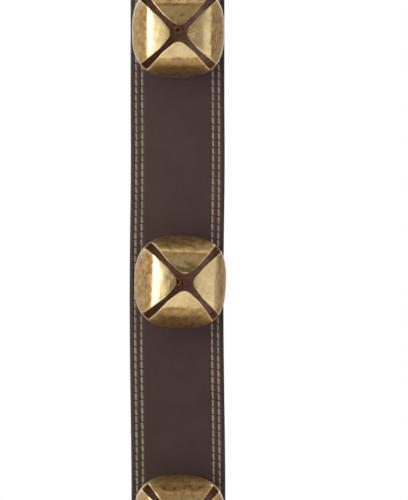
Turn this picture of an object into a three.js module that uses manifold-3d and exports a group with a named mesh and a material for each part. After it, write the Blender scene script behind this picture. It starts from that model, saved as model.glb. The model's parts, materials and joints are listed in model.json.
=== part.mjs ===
// Sleigh bell door hanger: three petal bells on a stitched, lined leather strap that hangs from a D-ring.
// Millimetres, +Z up, bells facing -Y. The origin is the inside top of the ring's bow, where a hook bears.

import * as THREE from "three";
import { mergeVertices } from "three/addons/utils/BufferGeometryUtils.js";
import Module from "manifold-3d";

const wasm = await Module();
wasm.setup();

// D-ring
const ringWire = 5; // wire diameter
const ringSideGap = 1; // between the strap's edge and the ring's side
const ringSide = 4; // straight stretch between a corner and the bow

// Leather strap: the front layer folds over the ring's bar, and the lining meets the end of the fold
const strapWidth = 50;
const frontThickness = 3.6;
const liningThickness = 3.6;
const barClearance = 0.35; // between the bar and the fold
const cementGap = 0.15; // between the two layers
const foldDrop = 24; // length of the curve that brings the front layer back to the flap
const flapLength = 22; // straight end of the fold, below that curve
const buttGap = 0.4; // between the flap's end and the lining
const pointLength = 30; // the pointed tail

const tailLength = 90; // bottom bell to the tip of the tail

// Places of the bells, down from the ring's bar
const topBellDrop = 95;
const middleBellDrop = 229.5;
const bottomBellDrop = 354;
const middleBellSide = -1.2; // its hole is punched off the middle

// Stitching: two rows along each edge, bedded in grooves on both faces
const rowInset = 3; // strap edge to the outer row
const rowGap = 3.2; // outer row to inner row
const threadWidth = 1.2;
const threadHeight = 0.5;
const threadClearance = 0.12; // each side of the thread and under it
const threadSink = 0.1; // thread's top below the leather's face
const rowStart = 4; // from the end of the fold's curve to the first stitch

// Rivets that close the fold
const rivetCapRadius = 4.8;
const rivetCapHeight = 1.3;
const rivetRim = 0.4; // straight edge of a cap
const rivetPostRadius = 1.7;
const rivetClearance = 0.2;
const rivetEdgeGap = 1.2; // from a cap to the nearest thread
const rivetSocketDepth = 0.6; // how far the post goes into the back cap

// Bell shell: a round base that turns into four petals, each bent at a shoulder
const bellHalfWidth = 24.5; // at the equator, across the petals
const bellHalfDiagonal = 26.9; // at the equator, across the slots
const bellBaseDepth = 15; // base to equator
const bellFrontDepth = 19; // equator to the petals' front
const bellSheet = 0.8;
const shoulderReach = 17.2; // axis to the bend across a petal
const shoulderRise = 14.5; // equator to that bend
const sideSlope = THREE.MathUtils.degToRad(52); // of a petal just outside the bend
const faceSlope = THREE.MathUtils.degToRad(26); // just inside it
const diagonalPower = 4; // squareness of the form along the slots: 2 is an ellipse
const petalPower = 7; // squareness of the section across the petals, at most
const slotHalfWidth = 1.2; // at the slot's waist
const slotWaistReach = 13; // axis to the waist
const slotCentreHalfWidth = 2.5; // at the axis
const slotEndHalfWidth = 2.3; // at the slot's outer end
const slotEndRise = 3.9; // from the equator to the slots' ends
const petalTipRadius = 4.5;

// Shank, pin and washer that hold a bell
const shankRadius = 2.6;
const neckRadius = 1.9; // through the shell's base
const neckClearance = 0.2;
const rollRadius = 2.75; // rolled-over end inside the bell
const boreRadius = 0.75;
const boreDepth = 4; // from the bell's base, towards the strap
const pinDiameter = 1.5;
const pinGap = 0.1; // between the pin and its washer
const pinPlay = 0.45; // round the pin in the shank's cross hole
const shankEndWall = 0.55; // metal beyond the cross hole
const shankEndChamfer = 0.9;
const pinOverhang = 2.4; // straight pin on each side of the shank
const pinEyeRadius = 1.5; // to the middle of the wire
const pinLegLength = 4.5;
const pinLegDiameter = 1.1;
const pinLegSplay = THREE.MathUtils.degToRad(40);
const washerRadius = 7;
const washerThickness = 0.6;
const windowClearance = 1.3; // round the pin and washer in the lining's window
const bellTiltLimit = THREE.MathUtils.degToRad(12);
const tiltClearance = 0.3; // left at the limit of the tilt

// Clapper
const clapperRadius = 6;
const clapperClearance = 0.3;

// Bells, and how each rests on its pin in degrees: turned about Z, nodding about X, rolled about its axis
const bells = [
  { name: "top", side: 0, drop: topBellDrop, turn: 1.1, nod: 5, roll: 0 },
  { name: "middle", side: middleBellSide, drop: middleBellDrop, turn: 7.5, nod: 0.5, roll: 2 },
  { name: "bottom", side: 0, drop: bottomBellDrop, turn: 2.5, nod: 6, roll: 1.5 },
];

// Facets
const wireSides = 10;
const bowSteps = 18;
const bendSteps = 4;
const shellFacets = { sides: 32, baseRings: 6, sideRings: 5, faceRings: 4 };
const cavityFacets = { sides: 24, baseRings: 5, sideRings: 4, faceRings: 3 };
const beadSteps = 7;
const ballDetail = 2;
const roundSides = 16;
const smallSides = 12;

// Derived places
const barRadius = ringWire / 2;
const ringCorner = ringSideGap + barRadius; // so that the bar is straight across the whole strap
const ringHalfWidth = strapWidth / 2 + ringCorner; // middle line of the wire
const bowCentreZ = barRadius - ringHalfWidth;
const barZ = bowCentreZ - ringSide - ringCorner;

const foldInner = barRadius + barClearance;
const foldOuter = foldInner + frontThickness;
const panelBack = foldInner - cementGap;
const panelFront = panelBack - frontThickness;
const liningBack = foldInner + liningThickness;
const foldEndZ = barZ - foldDrop;
const flapEndZ = foldEndZ - flapLength;
const bellZ = ({ drop }) => barZ - drop;
const tipZ = barZ - bottomBellDrop - tailLength;
const shoulderZ = tipZ + pointLength;

const innerRow = rowInset + rowGap;
const rowTopZ = foldEndZ - rowStart;
const grooveDepth = threadSink + threadHeight + threadClearance;
const rivetX = strapWidth / 2 - innerRow - threadWidth / 2 - rivetEdgeGap - rivetCapRadius;
const rivetZ = (foldEndZ + flapEndZ) / 2;
const rivetRecess = rivetCapHeight + threadSink;

const pinY = panelBack + washerThickness + pinGap + pinDiameter / 2;
const pinDepth = pinY - panelFront;
const pinHoleRadius = pinDiameter / 2 + pinPlay;
const pinHalfLength = shankRadius + pinOverhang;
const baseRadius = bellHalfWidth ** 2 / bellBaseDepth; // of the shell's base, at its middle
const tiltRise = (pinDepth + baseRadius) * (1 / Math.cos(bellTiltLimit) - 1);
const bellStandoff = tiltRise + tiltClearance;
const baseY = -(pinDepth + bellStandoff); // the bell's base, from the pin
const tiltedShank = shankRadius / Math.cos(bellTiltLimit) + tiltClearance; // half its width at the limit
const shankHoleRadius = tiltedShank + pinDepth * Math.sin(bellTiltLimit);
const washerReach = pinGap + pinDiameter / 2 + washerThickness;
const washerBore = tiltedShank + washerReach * Math.sin(bellTiltLimit);
const equatorY = baseY - bellBaseDepth;
const clapperDrop = bellHalfWidth - bellSheet - clapperRadius - clapperClearance;

// Finishes
const leather = new THREE.MeshStandardMaterial({ color: 0x493c39, roughness: 0.62, metalness: 0 });
const thread = new THREE.MeshStandardMaterial({ color: 0xb3a68c, roughness: 0.8, metalness: 0 });
const brass = new THREE.MeshStandardMaterial({ color: 0xb08d4f, roughness: 0.28, metalness: 1 });
const agedBrass = new THREE.MeshStandardMaterial({ color: 0x8f6f3c, roughness: 0.38, metalness: 1 });
const steel = new THREE.MeshStandardMaterial({ color: 0x8a8a8c, roughness: 0.35, metalness: 1 });

// Solids and cuts

/** Turns a closed geometry into a solid that can be cut. */
function solidOf(geometry) {
  const bare = geometry.clone();
  bare.deleteAttribute("normal");
  bare.deleteAttribute("uv");
  const merged = mergeVertices(bare, 1e-4);
  const vertProperties = new Float32Array(merged.attributes.position.array);
  const triVerts = new Uint32Array(merged.index.array);
  return new wasm.Manifold(new wasm.Mesh({ numProp: 3, vertProperties, triVerts }));
}

/** Turns a solid back into a geometry. */
function geometryOf(solid) {
  const mesh = solid.getMesh();
  const geometry = new THREE.BufferGeometry();
  geometry.setAttribute("position", new THREE.BufferAttribute(mesh.vertProperties, 3));
  geometry.setIndex(new THREE.BufferAttribute(mesh.triVerts, 1));
  geometry.computeVertexNormals();
  return geometry;
}

/** Cuts a list of geometries out of a solid. */
function cut(solid, cutters) {
  return cutters.reduce((left, cutter) => left.subtract(solidOf(cutter)), solid);
}

/** A prism along Y, from an outline in X and Z. */
function prism(outline, frontY, backY, curveSegments = 12) {
  const options = { depth: backY - frontY, bevelEnabled: false, curveSegments };
  return new THREE.ExtrudeGeometry(outline, options).rotateX(Math.PI / 2).translate(0, backY, 0);
}

/** A round bar along Y. */
function roundBar(radius, x, z, frontY, backY, sides = roundSides) {
  const bar = new THREE.CylinderGeometry(radius, radius, backY - frontY, sides);
  return bar.translate(x, (frontY + backY) / 2, z);
}

/** A turned piece about the Y axis, from points of radius and Y that run along its outside towards +Y. */
function turned(points, sides = roundSides) {
  return new THREE.LatheGeometry(points.map(([radius, y]) => new THREE.Vector2(radius, y)), sides);
}

/** A surface over rings of equally many points. It closes on its first ring, or at two poles. */
function loft(rings, poles) {
  const count = rings[0].length;
  const positions = rings.flat().flatMap((point) => point.toArray());
  const faces = [];
  const last = poles ? rings.length - 1 : rings.length;
  for (let i = 0; i < last; i += 1) {
    const below = i * count;
    const above = ((i + 1) % rings.length) * count;
    for (let j = 0; j < count; j += 1) {
      const next = (j + 1) % count;
      faces.push(below + j, below + next, above + next, below + j, above + next, above + j);
    }
  }
  if (poles) {
    const first = positions.length / 3;
    const top = (rings.length - 1) * count;
    positions.push(...poles[0].toArray(), ...poles[1].toArray());
    for (let j = 0; j < count; j += 1) {
      const next = (j + 1) % count;
      faces.push(first, next, j, first + 1, top + j, top + next);
    }
  }
  const geometry = new THREE.BufferGeometry();
  geometry.setAttribute("position", new THREE.Float32BufferAttribute(positions, 3));
  geometry.setIndex(faces);
  geometry.computeVertexNormals();
  return geometry;
}

/** A named piece in one finish. */
function piece(name, geometry, material) {
  const mesh = new THREE.Mesh(geometry, material);
  mesh.name = name;
  return mesh;
}

// D-ring

/** Middle line of the ring's wire in X and Z: bar, corners, sides and bow. */
function ringPath() {
  const cornerX = ringHalfWidth - ringCorner;
  const cornerZ = barZ + ringCorner;
  const path = new THREE.Path();
  path.moveTo(-cornerX, barZ);
  path.lineTo(cornerX, barZ);
  path.absarc(cornerX, cornerZ, ringCorner, -Math.PI / 2, 0, false);
  path.lineTo(ringHalfWidth, bowCentreZ);
  path.absarc(0, bowCentreZ, ringHalfWidth, 0, Math.PI, false);
  path.lineTo(-ringHalfWidth, cornerZ);
  path.absarc(-cornerX, cornerZ, ringCorner, Math.PI, 1.5 * Math.PI, false);
  return path;
}

/** Points of the ring's middle line, with its bends stepped evenly. */
function ringPoints() {
  return ringPath().curves.flatMap((curve) => {
    const bendCount = curve.xRadius === ringHalfWidth ? bowSteps : bendSteps;
    const steps = curve.isLineCurve ? 1 : bendCount;
    return curve.getPoints(steps).slice(0, steps);
  });
}

function dRing() {
  const points = ringPoints();
  const rings = points.map((point, i) => {
    const before = points.at(i - 1);
    const after = points[(i + 1) % points.length];
    const along = new THREE.Vector2().subVectors(after, before).normalize();
    const outward = new THREE.Vector3(along.y, 0, -along.x);
    return Array.from({ length: wireSides }, (_, j) => {
      const angle = (j / wireSides) * 2 * Math.PI;
      const section = outward.clone().multiplyScalar(barRadius * Math.cos(angle));
      return section.add(new THREE.Vector3(point.x, barRadius * Math.sin(angle), point.y));
    });
  });
  return loft(rings);
}

// Leather

/** The strap's edge in X and Z, at an inset: down one side, round the pointed tail and up the other. */
function edgePoints(inset, topZ) {
  const half = strapWidth / 2;
  const pointRadius = (pointLength ** 2 + half ** 2) / strapWidth;
  const radius = pointRadius - inset;
  const sweep = Math.acos((pointRadius - half) / radius);
  const path = new THREE.Path();
  path.moveTo(inset - half, topZ);
  path.lineTo(inset - half, shoulderZ);
  path.absarc(pointRadius - half, shoulderZ, radius, Math.PI, Math.PI + sweep, false);
  path.absarc(half - pointRadius, shoulderZ, radius, -sweep, 0, false);
  path.lineTo(half - inset, topZ);
  return path.getPoints(bendSteps);
}

/** A U-shaped band that follows the strap's edge, for a row of thread or its groove. */
function rowOutline(inset, width, topZ) {
  const outer = edgePoints(inset - width / 2, topZ);
  const inner = edgePoints(inset + width / 2, topZ);
  return new THREE.Shape([...outer, ...inner.reverse()]);
}

/** The grooves of both rows, cut into a face at faceY with the leather on the side that inward gives. */
function grooves(faceY, inward) {
  const floorY = faceY + inward * grooveDepth;
  const clearY = faceY - inward;
  const width = threadWidth + 2 * threadClearance;
  const outlines = [rowInset, innerRow].map((inset) => rowOutline(inset, width, rowTopZ + threadClearance));
  return outlines.map((outline) => prism(outline, Math.min(floorY, clearY), Math.max(floorY, clearY)));
}

/** Side view of the front layer in Y and Z: flap, fold over the bar, curve back to the flap, panel. */
function frontProfile() {
  const shift = panelBack + foldInner;
  const turn = 2 * Math.atan(shift / foldDrop);
  const bend = foldDrop / (2 * Math.sin(turn));
  const half = frontThickness / 2;
  const foldMiddle = foldInner + half;
  const upperY = bend - foldMiddle;
  const lowerY = shift - foldMiddle - bend;
  const profile = new THREE.Shape();
  profile.moveTo(foldOuter, flapEndZ);
  profile.lineTo(foldOuter, barZ);
  profile.absarc(0, barZ, foldOuter, 0, Math.PI, false);
  profile.absarc(upperY, barZ, bend + half, Math.PI, Math.PI + turn, false);
  profile.absarc(lowerY, foldEndZ, bend - half, turn, 0, true);
  profile.lineTo(panelFront, tipZ);
  profile.lineTo(panelBack, tipZ);
  profile.lineTo(panelBack, foldEndZ);
  profile.absarc(lowerY, foldEndZ, bend + half, 0, turn, false);
  profile.absarc(upperY, barZ, bend - half, Math.PI + turn, Math.PI, true);
  profile.absarc(0, barZ, foldInner, Math.PI, 0, true);
  profile.lineTo(foldInner, flapEndZ);
  return profile;
}

function strapFront() {
  const options = { depth: strapWidth, bevelEnabled: false, curveSegments: bendSteps };
  const sideView = new THREE.ExtrudeGeometry(frontProfile(), options).translate(0, 0, -strapWidth / 2);
  const acrossX = new THREE.Matrix4().makeBasis(
    new THREE.Vector3(0, 1, 0),
    new THREE.Vector3(0, 0, 1),
    new THREE.Vector3(1, 0, 0),
  );
  const outline = new THREE.Shape(edgePoints(0, barZ + 2 * foldOuter));
  const whole = solidOf(sideView.applyMatrix4(acrossX));
  const pointed = whole.intersect(solidOf(prism(outline, -2 * foldOuter, 2 * foldOuter)));
  const shankHoles = bells.map((bell) => (
    roundBar(shankHoleRadius, bell.side, bellZ(bell), panelFront - 1, panelBack + 1)
  ));
  const rivetHoles = [-rivetX, rivetX].flatMap((x) => [
    roundBar(rivetPostRadius + rivetClearance, x, rivetZ, panelFront - 1, foldOuter + 1, smallSides),
    roundBar(rivetCapRadius + rivetClearance, x, rivetZ, foldOuter - rivetRecess, foldOuter + 1),
  ]);
  const flapGrooves = grooves(foldOuter, -1);
  return geometryOf(cut(pointed, [...shankHoles, ...rivetHoles, ...grooves(panelFront, 1), ...flapGrooves]));
}

/** Outline of the window in the lining that lets a bell's pin and washer lie below its back. */
function windowOutline(x, z) {
  const radius = washerRadius + windowClearance;
  const up = pinHalfLength + 2 * pinEyeRadius + pinDiameter;
  const down = pinHalfLength + pinLegLength;
  const straight = Math.max(0, Math.max(up, down) + windowClearance - radius);
  const outline = new THREE.Shape();
  outline.absarc(x, z + straight, radius, 0, Math.PI, false);
  outline.absarc(x, z - straight, radius, Math.PI, 2 * Math.PI, false);
  return outline;
}

function strapLining() {
  const outline = new THREE.Shape(edgePoints(0, flapEndZ - buttGap));
  const windows = bells.map((bell) => (
    prism(windowOutline(bell.side, bellZ(bell)), foldInner - 1, liningBack + 1, bendSteps)
  ));
  const blank = solidOf(prism(outline, foldInner, liningBack));
  return geometryOf(cut(blank, [...windows, ...grooves(liningBack, -1)]));
}

/** One row of thread, bedded in the groove of a face. */
function threadRow(inset, faceY, inward) {
  const topY = faceY + inward * threadSink;
  const bottomY = topY + inward * threadHeight;
  return prism(rowOutline(inset, threadWidth, rowTopZ), Math.min(topY, bottomY), Math.max(topY, bottomY));
}

// Rivets

/** Dome of a rivet cap from its rim to its middle, in radius and height. */
function capDome(rimHeight) {
  return Array.from({ length: bendSteps + 1 }, (_, i) => {
    const angle = (i / bendSteps) * (Math.PI / 2);
    const height = rimHeight + (rivetCapHeight - rimHeight) * Math.sin(angle);
    return [rivetCapRadius * Math.cos(angle), height];
  });
}

/** Front cap with its post, from the strap's front to the socket of the back cap. */
function rivetPost() {
  const postEnd = foldOuter - rivetRecess + rivetSocketDepth - rivetClearance;
  const dome = capDome(rivetRim).map(([radius, height]) => [radius, panelFront - height]);
  const post = [
    [rivetCapRadius, panelFront],
    [rivetPostRadius, panelFront],
    [rivetPostRadius, postEnd],
    [0, postEnd],
  ];
  return turned([...dome.reverse(), ...post]);
}

/** Back cap, let into the flap. */
function rivetCap() {
  const seat = foldOuter - rivetRecess;
  const socket = rivetPostRadius + rivetClearance;
  const underside = [
    [0, seat + rivetSocketDepth],
    [socket, seat + rivetSocketDepth],
    [socket, seat],
    [rivetCapRadius, seat],
  ];
  return turned([...underside, ...capDome(rivetRim).map(([radius, height]) => [radius, seat + height])]);
}

// Bells: each is built about its pin, with its axis along -Y

/** Power of the section that reaches half across the petals and diagonal across the slots: 2 is a circle. */
function sectionPower(half, diagonal) {
  const steepest = 1 / 2 - 1 / petalPower;
  return 1 / (1 / 2 - Math.min(Math.log2(diagonal / half), steepest));
}

/** Middle line of a petal at an inset from its outside, from the equator up: reach in x and rise in y. */
function petalLine(inset, sideRings, faceRings) {
  const half = bellHalfWidth - inset;
  const depth = bellFrontDepth - inset;
  const slope = (sideSlope + faceSlope) / 2;
  const bend = new THREE.Vector2(
    shoulderReach - inset * Math.sin(slope),
    shoulderRise - inset * Math.cos(slope),
  );
  const sideCorner = new THREE.Vector2(half, bend.y - (half - bend.x) * Math.tan(sideSlope));
  const faceCorner = new THREE.Vector2(bend.x - (depth - bend.y) / Math.tan(faceSlope), depth);
  const side = new THREE.QuadraticBezierCurve(new THREE.Vector2(half, 0), sideCorner, bend);
  const face = new THREE.QuadraticBezierCurve(bend, faceCorner, new THREE.Vector2(0, depth));
  return [...side.getPoints(sideRings).slice(1), ...face.getPoints(faceRings).slice(1, -1)];
}

/** The bell's form at an inset from its outside: rings from the base to the front, and its two poles. */
function bellForm(inset, { sides, baseRings, sideRings, faceRings }) {
  const half = bellHalfWidth - inset;
  const diagonal = bellHalfDiagonal - inset;
  const sections = [];
  for (let i = 1; i <= baseRings; i += 1) {
    const angle = (i / baseRings) * (Math.PI / 2);
    const power = THREE.MathUtils.lerp(2, sectionPower(half, diagonal), i / baseRings);
    const rise = -Math.cos(angle) * (bellBaseDepth - inset);
    sections.push({ rise, power, reach: half * Math.sin(angle) });
  }
  for (const { x: reach, y: rise } of petalLine(inset, sideRings, faceRings)) {
    const share = rise / (bellFrontDepth - inset);
    const power = sectionPower(reach, diagonal * (1 - share ** diagonalPower) ** (1 / diagonalPower));
    sections.push({ rise, power, reach });
  }
  const rings = sections.map(({ rise, power, reach }) => Array.from({ length: sides }, (_, j) => {
    const angle = (j / sides) * 2 * Math.PI;
    const across = Math.abs(Math.cos(angle)) ** power + Math.abs(Math.sin(angle)) ** power;
    const radius = reach / across ** (1 / power);
    return new THREE.Vector3(radius * Math.cos(angle), equatorY - rise, radius * Math.sin(angle));
  }));
  const poles = [baseY - inset, equatorY - bellFrontDepth + inset].map((y) => new THREE.Vector3(0, y, 0));
  return loft(rings, poles);
}

/** Outline of the crossed slots in X and Z: each narrows to a waist, and the petals' tips are rounded. */
function slotOutline() {
  const reach = bellHalfWidth * Math.SQRT2;
  const flare = (slotEndHalfWidth - slotHalfWidth) / (bellHalfDiagonal - slotWaistReach);
  const endHalfWidth = slotHalfWidth + flare * (reach - slotWaistReach);
  const taper = (slotCentreHalfWidth - slotHalfWidth) / slotWaistReach;
  const petalHalfAngle = Math.PI / 4 + Math.atan(taper);
  const apex = (Math.SQRT2 * slotCentreHalfWidth) / (1 + taper); // where a petal's edges would meet
  const tipCentre = apex + petalTipRadius / Math.sin(petalHalfAngle);
  const tipSweep = Math.PI / 2 - petalHalfAngle;
  const points = [];
  for (let k = 0; k < 4; k += 1) {
    const arm = Math.PI / 4 + (k * Math.PI) / 2;
    const petal = arm + Math.PI / 4;
    const along = new THREE.Vector2(Math.cos(arm), Math.sin(arm));
    const across = new THREE.Vector2(-along.y, along.x);
    const edge = (out, off) => along.clone().multiplyScalar(out).addScaledVector(across, off);
    const tip = new THREE.Path();
    const [x, z] = [tipCentre * Math.cos(petal), tipCentre * Math.sin(petal)];
    const inward = petal + Math.PI;
    tip.absarc(x, z, petalTipRadius, inward + tipSweep, inward - tipSweep, true);
    points.push(
      edge(slotWaistReach, -slotHalfWidth),
      edge(reach, -endHalfWidth),
      edge(reach, endHalfWidth),
      edge(slotWaistReach, slotHalfWidth),
      ...tip.getPoints(bendSteps),
    );
  }
  return new THREE.Shape(points);
}

function bellShell() {
  const slotEndY = equatorY - slotEndRise;
  const frontY = equatorY - bellFrontDepth - 1;
  const cutters = [
    bellForm(bellSheet, cavityFacets),
    prism(slotOutline(), frontY, slotEndY),
    roundBar(neckRadius + neckClearance, 0, 0, baseY - bellSheet - 1, baseY + 1, smallSides),
  ];
  return geometryOf(cut(solidOf(bellForm(0, shellFacets)), cutters));
}

/** Shank: rolled over inside the bell, shouldered outside it, and cross-drilled for the pin. */
function bellShank() {
  const bead = (rollRadius - boreRadius) / 2;
  const beadRadius = boreRadius + bead;
  const beadY = baseY - bellSheet - neckClearance - bead;
  const beadEnd = 2 * Math.PI + Math.acos((neckRadius - beadRadius) / bead);
  const roll = Array.from({ length: beadSteps + 1 }, (_, i) => {
    const angle = THREE.MathUtils.lerp(Math.PI, beadEnd, i / beadSteps);
    return [beadRadius + bead * Math.cos(angle), beadY + bead * Math.sin(angle)];
  });
  const shoulderY = baseY + neckClearance;
  const endY = pinHoleRadius + shankEndWall;
  const points = [
    [0, baseY + boreDepth],
    [boreRadius, baseY + boreDepth],
    ...roll,
    [neckRadius, shoulderY],
    [shankRadius, shoulderY],
    [shankRadius, endY - shankEndChamfer],
    [shankRadius - shankEndChamfer, endY],
    [0, endY],
  ];
  const hole = new THREE.CylinderGeometry(pinHoleRadius, pinHoleRadius, 4 * shankRadius, smallSides);
  return geometryOf(cut(solidOf(turned(points)), [hole.rotateX(Math.PI / 2)]));
}

function bellClapper() {
  const ball = new THREE.IcosahedronGeometry(clapperRadius, ballDetail);
  return ball.translate(0, equatorY, -clapperDrop);
}

/** Cotter pin along Z: eye above, legs splayed below. */
function cotterPin() {
  const radius = pinDiameter / 2;
  const straight = new THREE.CylinderGeometry(radius, radius, 2 * pinHalfLength, smallSides);
  straight.rotateX(Math.PI / 2);
  const eye = new THREE.TorusGeometry(pinEyeRadius, radius, 6, 12).rotateX(Math.PI / 2);
  eye.translate(0, 0, pinHalfLength + pinEyeRadius);
  const legs = [-1, 1].map((side) => {
    const leg = new THREE.CylinderGeometry(pinLegDiameter / 2, pinLegDiameter / 2, pinLegLength, 8);
    leg.rotateX(Math.PI / 2).translate(0, 0, -pinLegLength / 2).rotateY(side * pinLegSplay);
    return leg.translate(0, 0, pinLegDiameter / 2 - pinHalfLength);
  });
  const whole = [eye, ...legs].reduce((joined, part) => joined.add(solidOf(part)), solidOf(straight));
  return geometryOf(whole);
}

function bellWasher() {
  const front = -washerReach;
  const back = front + washerThickness;
  return turned([
    [washerBore, front],
    [washerRadius, front],
    [washerRadius, back],
    [washerBore, back],
    [washerBore, front],
  ]);
}

// Assembly

const hanger = new THREE.Group();

hanger.add(piece("d_ring", dRing(), agedBrass));
hanger.add(piece("strap_front", strapFront(), leather));
hanger.add(piece("strap_lining", strapLining(), leather));

const rows = [
  { row: "outer", inset: rowInset },
  { row: "inner", inset: innerRow },
];
for (const { row, inset } of rows) {
  hanger.add(piece(`stitching_front_${row}`, threadRow(inset, panelFront, 1), thread));
  hanger.add(piece(`stitching_back_${row}`, threadRow(inset, liningBack, -1), thread));
}

for (const [side, x] of [["left", -rivetX], ["right", rivetX]]) {
  const rivet = new THREE.Group();
  rivet.position.set(x, 0, rivetZ);
  rivet.add(piece(`fold_rivet_${side}_post`, rivetPost(), agedBrass));
  rivet.add(piece(`fold_rivet_${side}_cap`, rivetCap(), agedBrass));
  hanger.add(rivet);
}

for (const { name, side, drop, turn, nod, roll } of bells) {
  const station = new THREE.Group();
  station.position.set(side, pinY, bellZ({ drop }));
  station.add(piece(`bell_${name}_cotter`, cotterPin(), steel));
  station.add(piece(`bell_${name}_washer`, bellWasher(), steel));
  const bell = new THREE.Group();
  const [nodAngle, rollAngle, turnAngle] = [nod, roll, turn].map(THREE.MathUtils.degToRad);
  bell.rotation.set(nodAngle, rollAngle, turnAngle, "ZXY");
  bell.add(piece(`bell_${name}_shell`, bellShell(), brass));
  bell.add(piece(`bell_${name}_shank`, bellShank(), agedBrass));
  bell.add(piece(`bell_${name}_clapper`, bellClapper(), steel));
  station.add(bell);
  hanger.add(station);
}

export default hanger;
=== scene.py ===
"""Looks of a sleigh bell door hanger: brass petal bells on a stitched, lined leather strap below a D-ring.

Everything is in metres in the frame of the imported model: +Z runs up the strap, and the bells face -Y.
"""

from __future__ import annotations

import json
import logging
import math
from dataclasses import dataclass
from enum import Enum

import bmesh
import bpy
import numpy as np
from mathutils import Euler, Matrix, Vector


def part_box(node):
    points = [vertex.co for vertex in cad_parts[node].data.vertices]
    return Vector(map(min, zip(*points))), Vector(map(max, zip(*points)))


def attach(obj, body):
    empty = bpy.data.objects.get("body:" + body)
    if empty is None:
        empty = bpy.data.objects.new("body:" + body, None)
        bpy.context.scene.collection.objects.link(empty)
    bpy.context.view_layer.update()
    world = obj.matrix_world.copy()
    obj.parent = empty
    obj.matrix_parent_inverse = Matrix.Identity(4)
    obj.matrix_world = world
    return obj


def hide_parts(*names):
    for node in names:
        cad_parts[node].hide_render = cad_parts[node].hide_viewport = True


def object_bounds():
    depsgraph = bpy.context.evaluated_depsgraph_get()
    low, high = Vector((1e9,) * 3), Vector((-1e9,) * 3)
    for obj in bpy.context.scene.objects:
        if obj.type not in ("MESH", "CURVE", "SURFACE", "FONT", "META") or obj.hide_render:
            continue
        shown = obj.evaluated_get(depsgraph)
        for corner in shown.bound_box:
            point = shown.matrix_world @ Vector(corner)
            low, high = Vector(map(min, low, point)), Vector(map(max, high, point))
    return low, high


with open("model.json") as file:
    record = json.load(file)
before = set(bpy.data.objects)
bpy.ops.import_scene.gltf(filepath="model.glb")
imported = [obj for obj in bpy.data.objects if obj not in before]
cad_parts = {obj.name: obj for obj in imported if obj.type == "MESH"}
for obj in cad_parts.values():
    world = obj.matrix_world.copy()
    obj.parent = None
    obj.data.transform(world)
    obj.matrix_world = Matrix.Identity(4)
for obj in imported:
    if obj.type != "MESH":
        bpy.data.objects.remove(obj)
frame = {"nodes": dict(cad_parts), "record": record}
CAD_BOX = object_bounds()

MM = 0.001
QUARTER = math.pi / 2
EIGHTH = math.pi / 4
PHOTO_HEIGHT = 500
RIPPLE_OCTAVES = (1.0, 1.0, 1.7, 1.7, 2.6, 2.6, 3.8)
RIPPLE_RANGE = 3.0
Colour = tuple[float, float, float]
Ends = tuple[float, float]
Run = tuple[np.ndarray, np.ndarray, np.ndarray]
log = logging.getLogger("door_hanger")


class Slot(Enum):
    """Material slots of the record."""

    LEATHER = "leather"
    THREAD = "thread"
    BRASS = "brass"
    AGED_BRASS = "aged_brass"
    STEEL = "steel"


class Face(Enum):
    """Faces of the strap that carry stitching. The value is the way each looks along Y."""

    FRONT = -1
    BACK = 1


# Meshes


class MeshDraft:
    """Points, faces and point masks of one piece, on the way to becoming a mesh."""

    def __init__(self) -> None:
        """Starts an empty draft."""
        self.points: list[np.ndarray] = []
        self.faces: list[list[int]] = []
        self.masks: dict[str, list[np.ndarray]] = {}
        self.size = 0

    def add_points(self, points: np.ndarray, **masks: np.ndarray) -> np.ndarray:
        """Adds points.

        Args:
            points: places, with their coordinates on the last axis.
            masks: values of named point masks, one for each point.

        Returns:
            The index of each point, in the shape of the points given.
        """
        flat = points.reshape(-1, 3)
        index = np.arange(len(flat)) + self.size
        self.points.append(flat)
        self.size += len(flat)
        for name, values in masks.items():
            self.masks.setdefault(name, []).append(np.asarray(values, dtype=float).reshape(-1))
        return index.reshape(points.shape[:-1])

    def add_grid(
        self, grid: np.ndarray, loop_rows: bool = False, loop_columns: bool = False, **masks: np.ndarray
    ) -> np.ndarray:
        """Adds a grid of four-sided faces.

        Args:
            grid: places in rows and columns.
            loop_rows: joins the last row to the first.
            loop_columns: joins the last column to the first.
            masks: values of named point masks, in rows and columns.

        Returns:
            The index of each point, in rows and columns.
        """
        index = self.add_points(grid, **masks)
        wrapped = np.vstack([index, index[:1]]) if loop_rows else index
        wrapped = np.hstack([wrapped, wrapped[:, :1]]) if loop_columns else wrapped
        corners = [wrapped[:-1, :-1], wrapped[1:, :-1], wrapped[1:, 1:], wrapped[:-1, 1:]]
        self.faces.extend(np.stack(corners, axis=-1).reshape(-1, 4).tolist())
        return index

    def add_cap(self, loop: np.ndarray) -> None:
        """Closes a loop of points with one face."""
        self.faces.append([int(i) for i in loop])

    def add_closed(self, rings: np.ndarray, **masks: np.ndarray) -> None:
        """Adds a grid of rings that is closed at both ends.

        Args:
            rings: places, with a ring in each row.
            masks: values of named point masks, in rows and columns.
        """
        index = self.add_grid(rings, loop_columns=True, **masks)
        self.add_cap(index[0][::-1])
        self.add_cap(index[-1])

    def to_object(self, name: str, weld: float = 1e-6) -> bpy.types.Object:
        """Makes the scene's object of the draft.

        Args:
            name: of the new piece.
            weld: points nearer than this become one.

        Returns:
            The new object.
        """
        mesh = bpy.data.meshes.new(name)
        mesh.from_pydata(np.vstack(self.points).tolist(), [], self.faces)
        for mask, parts in self.masks.items():
            values = mesh.attributes.new(mask, "FLOAT", "POINT")
            values.data.foreach_set("value", np.concatenate(parts))
        work = bmesh.new()
        work.from_mesh(mesh)
        bmesh.ops.remove_doubles(work, verts=work.verts, dist=weld)
        bmesh.ops.dissolve_degenerate(work, edges=work.edges, dist=weld)
        bmesh.ops.recalc_face_normals(work, faces=work.faces)
        work.to_mesh(mesh)
        work.free()
        piece = bpy.data.objects.new(name, mesh)
        bpy.context.scene.collection.objects.link(piece)
        return piece


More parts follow.
